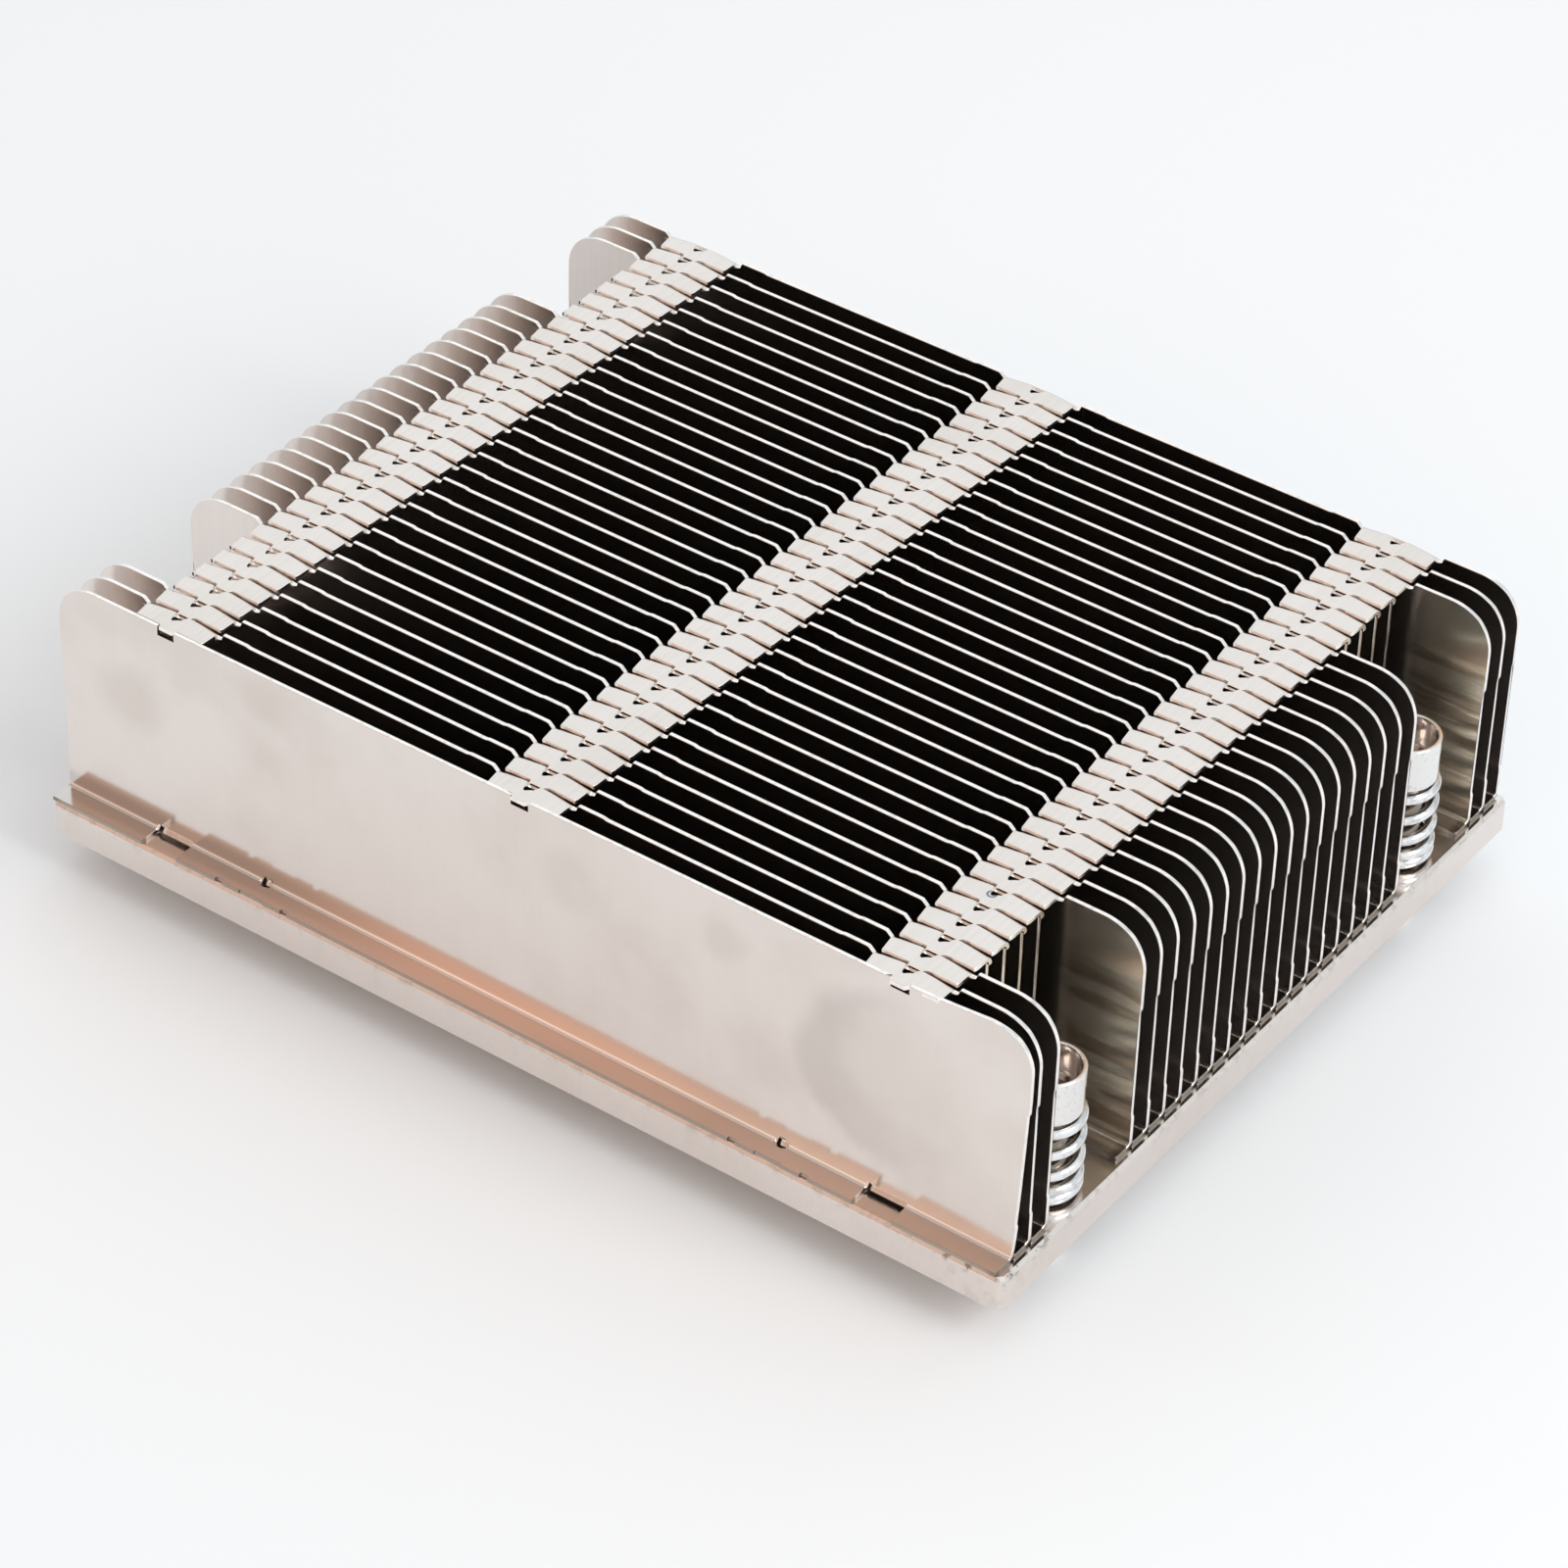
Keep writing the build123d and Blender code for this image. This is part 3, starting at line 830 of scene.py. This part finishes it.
def plating_group():
    """Rolled and plated sheet: soft blotches, rolling streaks across X and fine grain."""
    group = bpy.data.node_groups.new("Rolled plating", "ShaderNodeTree")
    for label, kind, default in (
        ("Clean", "NodeSocketColor", (0.82, 0.755, 0.715, 1)),
        ("Dull", "NodeSocketColor", (0.66, 0.585, 0.535, 1)),
        ("Blotch amount", "NodeSocketFloat", 0.4),
        ("Streak amount", "NodeSocketFloat", 0.3),
        ("Smooth roughness", "NodeSocketFloat", 0.26),
        ("Dull roughness", "NodeSocketFloat", 0.38),
    ):
        socket = group.interface.new_socket(label, in_out="INPUT", socket_type=kind)
        socket.default_value = default
    for label, kind in (
        ("Color", "NodeSocketColor"), ("Roughness", "NodeSocketFloat"), ("Height", "NodeSocketFloat"),
    ):
        group.interface.new_socket(label, in_out="OUTPUT", socket_type=kind)
    board = NodeBoard(group)
    given = board.add("NodeGroupInput").outputs
    place = board.place()
    blotch = board.remap(board.noise(place, 55.0, 4.0, 0.55), 0.45, 0.72)
    patch = board.remap(board.noise(place, 160.0, 3.0, 0.6), 0.4, 0.75)
    film = board.product(board.total(blotch, board.product(patch, 0.35)), given["Blotch amount"])
    streak = board.noise(board.stretched(place, (2600.0, 50.0, 50.0)), 1.0, 3.0, 0.6)
    streak_share = board.product(board.remap(streak, 0.35, 0.7), given["Streak amount"])
    dull = board.math("ADD", film, board.product(streak_share, 0.5), clamp=True)
    shade = board.mix(dull, given["Clean"], given["Dull"])
    spread = board.math("SUBTRACT", given["Dull roughness"], given["Smooth roughness"])
    rough = board.total(given["Smooth roughness"], board.product(dull, spread))
    grain = board.noise(place, 5200.0, 2.0, 0.5)
    height = board.total(board.product(streak, given["Streak amount"]), board.product(grain, 0.25))
    board.add("NodeGroupOutput", {"Color": shade, "Roughness": rough, "Height": height})
    return group


def start_material(name, **constants):
    """An empty material with one Principled shader whose constant values are set on its own sockets."""
    material = bpy.data.materials.new(name)
    material.use_nodes = True
    board = NodeBoard(material.node_tree)
    shader = material.node_tree.nodes["Principled BSDF"]
    for key, value in constants.items():
        shader.inputs[key.replace("_", " ")].default_value = value
    return material, board, shader


def add_bump(board, shader, height, distance, strength):
    """Bumps a shader's normal by a height, with the distance in metres."""
    bump = board.add("ShaderNodeBump", {"Height": height, "Distance": distance, "Strength": strength})
    board.link(bump.outputs[0], shader, "Normal")


def plated_material(name, finishes, blotch, streak, smooth, dull):
    """Bright plating over metal, with the shared blotches and streaks, which set its roughness.

    Its colour and height are outputs of the group, for the caller to go on from.
    """
    material, board, shader = start_material(name, Metallic=1.0)
    group = bpy.data.node_groups.get("Rolled plating") or plating_group()
    plating = board.add("ShaderNodeGroup", node_tree=group)
    for key, value in (
        ("Clean", opaque(finishes.plating)), ("Dull", opaque(finishes.smudge)), ("Blotch amount", blotch),
        ("Streak amount", streak), ("Smooth roughness", smooth), ("Dull roughness", dull),
    ):
        plating.inputs[key].default_value = value
    board.link(plating.outputs["Roughness"], shader, "Roughness")
    return material, board, shader, plating.outputs


def foot_end_shade(board, axes):
    """Mask of painted shade at both ends of the foot flanges, down in the gaps between the fins, no higher than
    a sheet above the plate.
    """
    end = board.remap(board.gap(axes["X"], STACK_MIDDLE), 49.8, 50.7)
    low = board.remap(axes["Z"], PLATE_HIGH[2] + 0.48, PLATE_HIGH[2] + 0.38)
    return board.product(end, low, 0.85)


def draw_out(board, shader):
    """Smears reflections along X, as sheet does that was rolled across the fins."""
    shader.inputs["Anisotropic"].default_value = 1.0
    board.link(board.add("ShaderNodeCombineXYZ", {"X": 1.0}).outputs[0], shader, "Tangent")


def fin_material(name, finishes, well):
    """Plating of the folded fins, drawn out across them, with painted shade at the ends of their feet.

    A fin that closes a screw's well is rougher at its right end and carries a painted highlight there, bright
    and yellow, crossed lower down by level bands of painted shade.
    """
    material, board, shader, plating = plated_material(name, finishes, 0.25, 0.3, 0.12, 0.17)
    place = board.place()
    axes = board.axes(place)
    # Painted shade at the ends of the fins' feet, in the gaps between them.
    shade = board.mix(foot_end_shade(board, axes), plating["Color"], opaque(finishes.painted_shade))
    from_mark = board.add("ShaderNodeVectorMath", {0: place, 1: MARK}, operation="DISTANCE").outputs["Value"]
    ring = board.remap(board.gap(from_mark, MARK_RADIUS), 0.00016, 0.00006)
    shade = board.mix(ring, shade, opaque(finishes.mark))
    # Painted highlight at the right end of the face that closes the well, with bands of painted shade below it.
    if well:
        normal = board.add("ShaderNodeNewGeometry").outputs["Normal"]
        ahead = board.remap(board.add("ShaderNodeSeparateXYZ", {0: normal}).outputs["Y"], -0.5, -0.8)
        open_end = board.product(board.remap(axes["X"], 41.5, 45.0), ahead)
        streaks = board.noise(board.stretched(place, (60.0, 60.0, 620.0)), 1.0, 3.0, 0.6)
        bands = board.product(board.remap(streaks, 0.42, 0.60), board.remap(axes["Z"], 22.5, 19.5))
        well_highlight_and_shade = board.mix(bands, opaque(finishes.bronze), opaque(finishes.bronze_dark))
        shade = board.mix(open_end, shade, well_highlight_and_shade)
        rough = board.total(plating["Roughness"], board.product(open_end, 0.09))
        board.link(rough, shader, "Roughness")
    board.link(shade, shader, "Base Color")
    add_bump(board, shader, plating["Height"], 0.00004, 0.06)
    draw_out(board, shader)
    return material


def edge_material(finishes):
    """Sheared edge of the sheet: duller and paler than its faces, with painted shade at the feet's ends and
    along the front edge of the front fin's foot.
    """
    material, board, shader = start_material("Cut edge", Metallic=1.0, Roughness=0.2)
    place = board.place()
    axes = board.axes(place)
    # Painted shade at the ends of the fins' feet.
    shade = board.mix(foot_end_shade(board, axes), opaque(finishes.cut), opaque(finishes.painted_shade))
    worn = board.remap(board.noise(place, 1500.0, 3.0, 0.6), 0.45, 0.75, 0.0, 0.45)
    shade = board.mix(worn, shade, opaque(finishes.smudge))
    # Painted shade along the front edge of the front fin's foot, just above the plate.
    ahead = board.remap(axes["Y"], FRONT_LOW[1] + 0.5, FRONT_LOW[1] + 0.3)
    low = board.remap(axes["Z"], PLATE_HIGH[2] + 0.9, PLATE_HIGH[2] + 0.7)
    toe = board.product(ahead, low, 0.8)
    board.link(board.mix(toe, shade, opaque(finishes.painted_shade)), shader, "Base Color")
    return material


def front_material(finishes):
    """Plating of the front fin: a painted warm reflection along its foot, brown at its left end, smudges, and a
    large round stain with faint polishing arcs.
    """
    material, board, shader, plating = plated_material("Front fin plating", finishes, 0.42, 0.1, 0.15, 0.24)
    place = board.place()
    axes = board.axes(place)
    wobble = board.product(board.math("SUBTRACT", board.noise(place, 130.0, 3.0), 0.5), 4.5)

    def reach(x, z):
        """Distance on the face from a point, a little uneven."""
        off_x, off_z = board.math("SUBTRACT", axes["X"], x), board.math("SUBTRACT", axes["Z"], z)
        return board.total(board.radius(off_x, off_z), wobble)

    # Painted reflection along the foot: warm is the flange and warm front mirrored in the web, film is the
    # brown reflection at the left end.
    foot = board.remap(axes["Z"], 6.0, 5.0)
    warm = board.product(foot, board.remap(axes["X"], 32.0, 0.0))
    film = board.product(foot, board.remap(axes["X"], -6.0, -34.0))
    shade = board.mix(warm, plating["Color"], opaque(finishes.warm))
    shade = board.mix(film, shade, opaque(finishes.film))
    outer, inner = reach(37.5, 15.5), reach(39.5, 17.2)
    body = board.product(board.remap(outer, 10.0, 7.6), 0.55)
    hollow = board.product(board.remap(inner, 8.0, 5.0), 0.3)
    side = board.remap(axes["X"], 46.0, 30.0, 0.25, 1.0)
    stain = board.math("MULTIPLY", board.math("SUBTRACT", body, hollow), side, clamp=True)
    shade = board.mix(stain, shade, opaque(finishes.stain))
    for x, z, size, share in (
        (20.8, 22.2, 3.2, 0.4), (-43.2, 16.9, 5.0, 0.5), (-27.8, 23.6, 3.6, 0.35), (5.1, 20.5, 5.0, 0.3),
        (25.0, 12.0, 5.0, 0.2),
    ):
        spot = board.product(board.remap(reach(x, z), size, 0.35 * size), share)
        shade = board.mix(spot, shade, opaque(finishes.smudge))
    board.link(shade, shader, "Base Color")
    turn = board.total(board.product(inner, 5.2), board.noise(place, 60.0))
    polished = board.remap(outer, 10.0, 6.0)
    arcs = board.product(board.math("SINE", turn), polished, board.noise(place, 240.0, 2.0), 0.25)
    add_bump(board, shader, board.total(plating["Height"], arcs), 0.00004, 0.1)
    return material


def plate_material(finishes):
    """Plating of the base plate, with dark scuffs along its upper edge and more at the front right corner."""
    material, board, shader, plating = plated_material("Plate plating", finishes, 0.3, 0.15, 0.15, 0.28)
    place = board.place()
    axes = board.axes(place)
    half_x, half_y, top = PLATE_HIGH
    edge_x = board.math("SUBTRACT", half_x, board.math("ABSOLUTE", axes["X"]))
    edge_y = board.math("SUBTRACT", half_y, board.math("ABSOLUTE", axes["Y"]))
    rim = board.remap(board.math("MINIMUM", edge_x, edge_y), 0.9, 0.0)
    worn_length = 12.0
    corner_x = board.remap(axes["X"], half_x - worn_length, half_x)
    corner_y = board.remap(axes["Y"], worn_length - half_y, -half_y)
    corner = board.product(corner_x, corner_y)
    flecks = board.remap(board.noise(place, 900.0, 4.0, 0.65), 0.50, 0.63)
    upper = board.remap(axes["Z"], top - 1.0, top - 0.2, 0.15, 1.0)
    scuffs = board.product(flecks, board.math("ADD", 0.25, corner, clamp=True), upper, rim)
    board.link(board.mix(scuffs, plating["Color"], opaque(finishes.wear)), shader, "Base Color")
    dents = board.product(board.noise(place, 420.0, 3.0, 0.6), board.total(0.3, corner), rim, 2.0)
    add_bump(board, shader, board.total(plating["Height"], dents), 0.00005, 0.14)
    return material


def screw_material(finishes):
    """Bright zinc with fine dark specks, a painted brown reflection and shade inside the cup, and painted shade
    on the shank below it.

    The distance from the nearest screw's axis tells the inside from the outside, on all four corners alike.
    """
    material, board, shader = start_material("Screw zinc", Metallic=1.0)
    place = board.place()
    axes = board.axes(place)
    near, far = screw_axis("front_left"), screw_axis("rear_right")
    middle, half = (near + far) / 2, (far - near) / 2
    top = node_box("screw_front_left")[1][2]
    ends = board.remap(board.gap(axes["Z"], top - 2.2), 0.8, 2.1, 0.35, 1.0)
    speck = board.product(board.remap(board.noise(place, 2400.0, 4.0, 0.7), 0.56, 0.70), ends)
    off_x = board.math("SUBTRACT", board.gap(axes["X"], middle[0]), half[0])
    off_y = board.math("SUBTRACT", board.gap(axes["Y"], middle[1]), half[1])
    core = board.remap(board.radius(off_x, off_y), 2.62, 2.55)
    above = board.remap(axes["Z"], top - 4.0, top - 3.9)
    shade = board.mix(speck, opaque(finishes.screw), opaque(finishes.speck))
    # Painted brown reflection and shade on the wall and floor inside each cup.
    shade = board.mix(board.product(core, above), shade, opaque(finishes.cup_reflection_shade))
    # Painted shade on each shank inside its spring, between the plate and the cup.
    shank = board.product(core, board.math("SUBTRACT", 1.0, above), board.remap(axes["Z"], 1.2, 1.6))
    shade = board.mix(shank, shade, opaque(finishes.painted_shade))
    board.link(shade, shader, "Base Color")
    board.link(board.total(0.14, board.product(speck, 0.25)), shader, "Roughness")
    add_bump(board, shader, board.noise(place, 1800.0, 3.0), 0.00005, 0.15)
    return material


def wire_material(name, base, smooth, dull):
    """Drawn steel: dull patches over polished wire."""
    material, board, shader = start_material(name, Metallic=1.0)
    worn = board.remap(board.noise(board.place(), 900.0, 3.0, 0.6), 0.42, 0.7)
    darker = opaque([0.72 * part for part in base])
    board.link(board.mix(worn, opaque(base), darker), shader, "Base Color")
    board.link(board.total(smooth, board.product(worn, dull - smooth)), shader, "Roughness")
    return material


class HEATSINK_OT_plate(bpy.types.Operator):
    """Gives the base plate its plating"""

    bl_idname = "heatsink.plate"
    bl_label = "Base plate"

    def execute(self, context):
        plate = frame["nodes"]["base_plate"]
        plate.data.materials.clear()
        plate.data.materials.append(plate_material(context.scene.heatsink_finishes))
        return {"FINISHED"}


class HEATSINK_OT_fins(bpy.types.Operator):
    """Folds all fins from their flat outlines and gives them their plating"""

    bl_idname = "heatsink.fins"
    bl_label = "Fins"

    def execute(self, context):
        finishes = context.scene.heatsink_finishes
        shape = FinShape(context.scene.heatsink_fins)
        sheet = fin_material("Fin plating", finishes, well=False)
        well = fin_material("Well fin plating", finishes, well=True)
        front = front_material(finishes)
        cut = edge_material(finishes)
        for name in FIN_NAMES:
            if name == FRONT_FIN:
                face = front
                points, faces, edges = front_fin(shape)
            else:
                face = well if closes_well(name) else sheet
                points, faces, edges = flanged_fin(shape, name)
            add_piece(
                f"{name}_sheet", points, faces, (face, cut), "heatsink", name, second=edges
            )
        return {"FINISHED"}


class HEATSINK_OT_springs(bpy.types.Operator):
    """Winds the four springs"""

    bl_idname = "heatsink.springs"
    bl_label = "Springs"

    def execute(self, context):
        material = wire_material("Spring wire", context.scene.heatsink_finishes.spring, 0.08, 0.18)
        joints = {joint["name"]: joint for joint in frame["joints"]}
        for corner in CORNERS:
            press = f"{corner}_press"
            if press not in joints:
                raise RuntimeError(f"the frame has no joint {press}")
            points, faces = coil_spring(corner, context.scene.heatsink_screws)
            name = f"spring_{corner}"
            piece = add_piece(f"{name}_wire", points, faces, (material,), "heatsink", name, 50.0)
            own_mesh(piece)
        return {"FINISHED"}


class HEATSINK_OT_screws(bpy.types.Operator):
    """Turns the four captive screws"""

    bl_idname = "heatsink.screws"
    bl_label = "Screws"

    def execute(self, context):
        material = screw_material(context.scene.heatsink_finishes)
        for corner in CORNERS:
            points, faces = captive_screw(corner, context.scene.heatsink_screws)
            name = f"screw_{corner}"
            add_piece(f"{name}_turned", points, faces, (material,), name, name)
        return {"FINISHED"}


class HEATSINK_OT_rings(bpy.types.Operator):
    """Makes the four snap rings under the plate"""

    bl_idname = "heatsink.rings"
    bl_label = "Retaining rings"

    def execute(self, context):
        material = wire_material("Ring steel", context.scene.heatsink_finishes.ring, 0.3, 0.45)
        for corner in CORNERS:
            points, faces = snap_ring(corner)
            node = f"retaining_ring_{corner}"
            add_piece(f"{node}_clip", points, faces, (material,), f"ring_{corner}", node)
        return {"FINISHED"}


def camera_matrix(place, azimuth, elevation, roll):
    """A camera looking along -back, its right end raised by roll. All angles in degrees."""
    turn, rise, tilt = (math.radians(value) for value in (azimuth, elevation, roll))
    back = np.array([math.sin(turn) * math.cos(rise), -math.cos(turn) * math.cos(rise), math.sin(rise)])
    level = np.array([math.cos(turn), math.sin(turn), 0.0])
    up = np.cross(back, level)
    right = math.cos(tilt) * level + math.sin(tilt) * up
    matrix = np.eye(4)
    matrix[:3, :3] = np.stack([right, np.cross(back, right), back], axis=1)
    matrix[:3, 3] = place
    return Matrix(matrix.tolist())


def floor_material(settings):
    """Matt white table with a faint unevenness."""
    material, board, shader = start_material("Table", Roughness=0.85, Specular_IOR_Level=0.1)
    tone = board.remap(board.noise(board.place(), 4.0, 2.0), 0.3, 0.7)
    deeper = opaque([0.985 * part for part in settings.floor])
    board.link(board.mix(tone, opaque(settings.floor), deeper), shader, "Base Color")
    return material


def tent_world(settings):
    """A white tent: brighter at the right, behind and low in front, where it is warm, with one brown wall."""
    world = bpy.data.worlds.new("Light tent")
    world.use_nodes = True
    world.node_tree.nodes.clear()
    board = NodeBoard(world.node_tree)
    ray = board.add("ShaderNodeTexCoord").outputs["Generated"]

    def facing(direction, inner, outer):
        """1 within the inner angle of a direction, 0 past the outer one, in degrees."""
        unit = tuple(np.array(direction) / np.linalg.norm(direction))
        dot = board.add("ShaderNodeVectorMath", {0: ray, 1: unit}, operation="DOT_PRODUCT").outputs["Value"]
        return board.remap(dot, math.cos(math.radians(outer)), math.cos(math.radians(inner)))

    warm = facing((-0.1, -0.95, 0.2), 20.0, 72.0)
    brown = facing((-0.46, -0.50, 0.73), 12.0, 25.0)
    behind = facing((-0.452, 0.645, 0.616), 16.0, 46.0)
    right = facing((0.9, 0.05, 0.4), 20.0, 65.0)
    tone = board.mix(warm, opaque(settings.sky), opaque(settings.warm_side))
    tone = board.mix(brown, tone, opaque(settings.brown_side))
    overhead = board.remap(board.add("ShaderNodeSeparateXYZ", {0: ray}).outputs["Z"], 0.0, 0.7, 0.9, 1.0)
    sides = board.total(board.product(behind, 0.54), board.product(right, 0.5), board.product(warm, 0.6))
    level = board.product(board.total(overhead, sides), settings.sky_strength)
    light = board.add("ShaderNodeBackground", {"Color": tone, "Strength": level}).outputs[0]
    board.add("ShaderNodeOutputWorld", {"Surface": light})
    return world


def add_table(scene, settings):
    """A level grid of quads at the height of the studs' tips."""
    edge = np.linspace(-TABLE_HALF, TABLE_HALF, TABLE_STEPS)
    across, along = np.meshgrid(edge, edge, indexing="ij")
    height = np.full(across.shape, FLOOR_HEIGHT / MM)
    points = np.stack([across, along, height], axis=-1).reshape(-1, 3)
    mesh = bpy.data.meshes.new("table")
    mesh.from_pydata(points.tolist(), [], grid_faces(TABLE_STEPS, TABLE_STEPS, False)[:, ::-1].tolist())
    mesh.materials.append(floor_material(settings))
    table = bpy.data.objects.new("table", mesh)
    scene.collection.objects.link(table)


def add_key_lamp(scene, settings):
    """A round lamp at the right, aimed at the origin."""
    lamp = bpy.data.lights.new("key", "AREA")
    lamp.shape, lamp.size, lamp.energy = "DISK", KEY_SIZE, settings.key_power
    lamp.color = settings.key_colour
    key = bpy.data.objects.new("key", lamp)
    scene.collection.objects.link(key)
    key.location = KEY_PLACE
    aim = -key.location.normalized()
    key.rotation_euler = aim.to_track_quat("-Z", "Y").to_euler()


def add_camera(scene):
    """The camera at the photograph's viewing angle."""
    lens = bpy.data.cameras.new("view")
    lens.sensor_width, lens.lens = CAMERA_SENSOR, CAMERA_FOCAL
    lens.clip_start, lens.clip_end = 0.01, 20.0
    camera = bpy.data.objects.new("view", lens)
    scene.collection.objects.link(camera)
    camera.matrix_world = camera_matrix(CAMERA_PLACE, CAMERA_AZIMUTH, CAMERA_ELEVATION, CAMERA_ROLL)
    scene.camera = camera


class HEATSINK_OT_stage(bpy.types.Operator):
    """Sets the table, the light and the camera"""

    bl_idname = "heatsink.stage"
    bl_label = "Stage"

    def execute(self, context):
        scene = context.scene
        add_table(scene, scene.heatsink_stage)
        scene.world = tent_world(scene.heatsink_stage)
        add_key_lamp(scene, scene.heatsink_stage)
        add_camera(scene)
        scene.view_settings.view_transform = "Standard"
        return {"FINISHED"}


PIECE_OPERATORS = (
    HEATSINK_OT_plate, HEATSINK_OT_fins, HEATSINK_OT_springs, HEATSINK_OT_screws, HEATSINK_OT_rings,
    HEATSINK_OT_stage,
)
SETTINGS = {
    "heatsink_fins": HeatsinkFinSizes,
    "heatsink_screws": HeatsinkScrewSizes,
    "heatsink_finishes": HeatsinkFinishes,
    "heatsink_stage": HeatsinkStageSettings,
}


class HEATSINK_PT_panel(bpy.types.Panel):
    """Lists the settings and the pieces"""

    bl_idname = "HEATSINK_PT_panel"
    bl_label = "Heatsink"
    bl_space_type = "VIEW_3D"
    bl_region_type = "UI"
    bl_category = "Heatsink"

    def draw(self, context):
        for key, kind in SETTINGS.items():
            column = self.layout.column(align=True)
            for field in kind.__annotations__:
                column.prop(getattr(context.scene, key), field)
        for operator in PIECE_OPERATORS:
            self.layout.operator(operator.bl_idname)


CLASSES = (*SETTINGS.values(), *PIECE_OPERATORS, HEATSINK_PT_panel)


def register():
    for kind in CLASSES:
        bpy.utils.register_class(kind)
    for key, kind in SETTINGS.items():
        setattr(bpy.types.Scene, key, bpy.props.PointerProperty(type=kind))


def unregister():
    for key in SETTINGS:
        delattr(bpy.types.Scene, key)
    for kind in reversed(CLASSES):
        bpy.utils.unregister_class(kind)


def main():
    register()
    bpy.ops.heatsink.plate()
    bpy.ops.heatsink.fins()
    bpy.ops.heatsink.springs()
    bpy.ops.heatsink.screws()
    bpy.ops.heatsink.rings()
    bpy.ops.heatsink.stage()


if __name__ == "__main__":
    main()
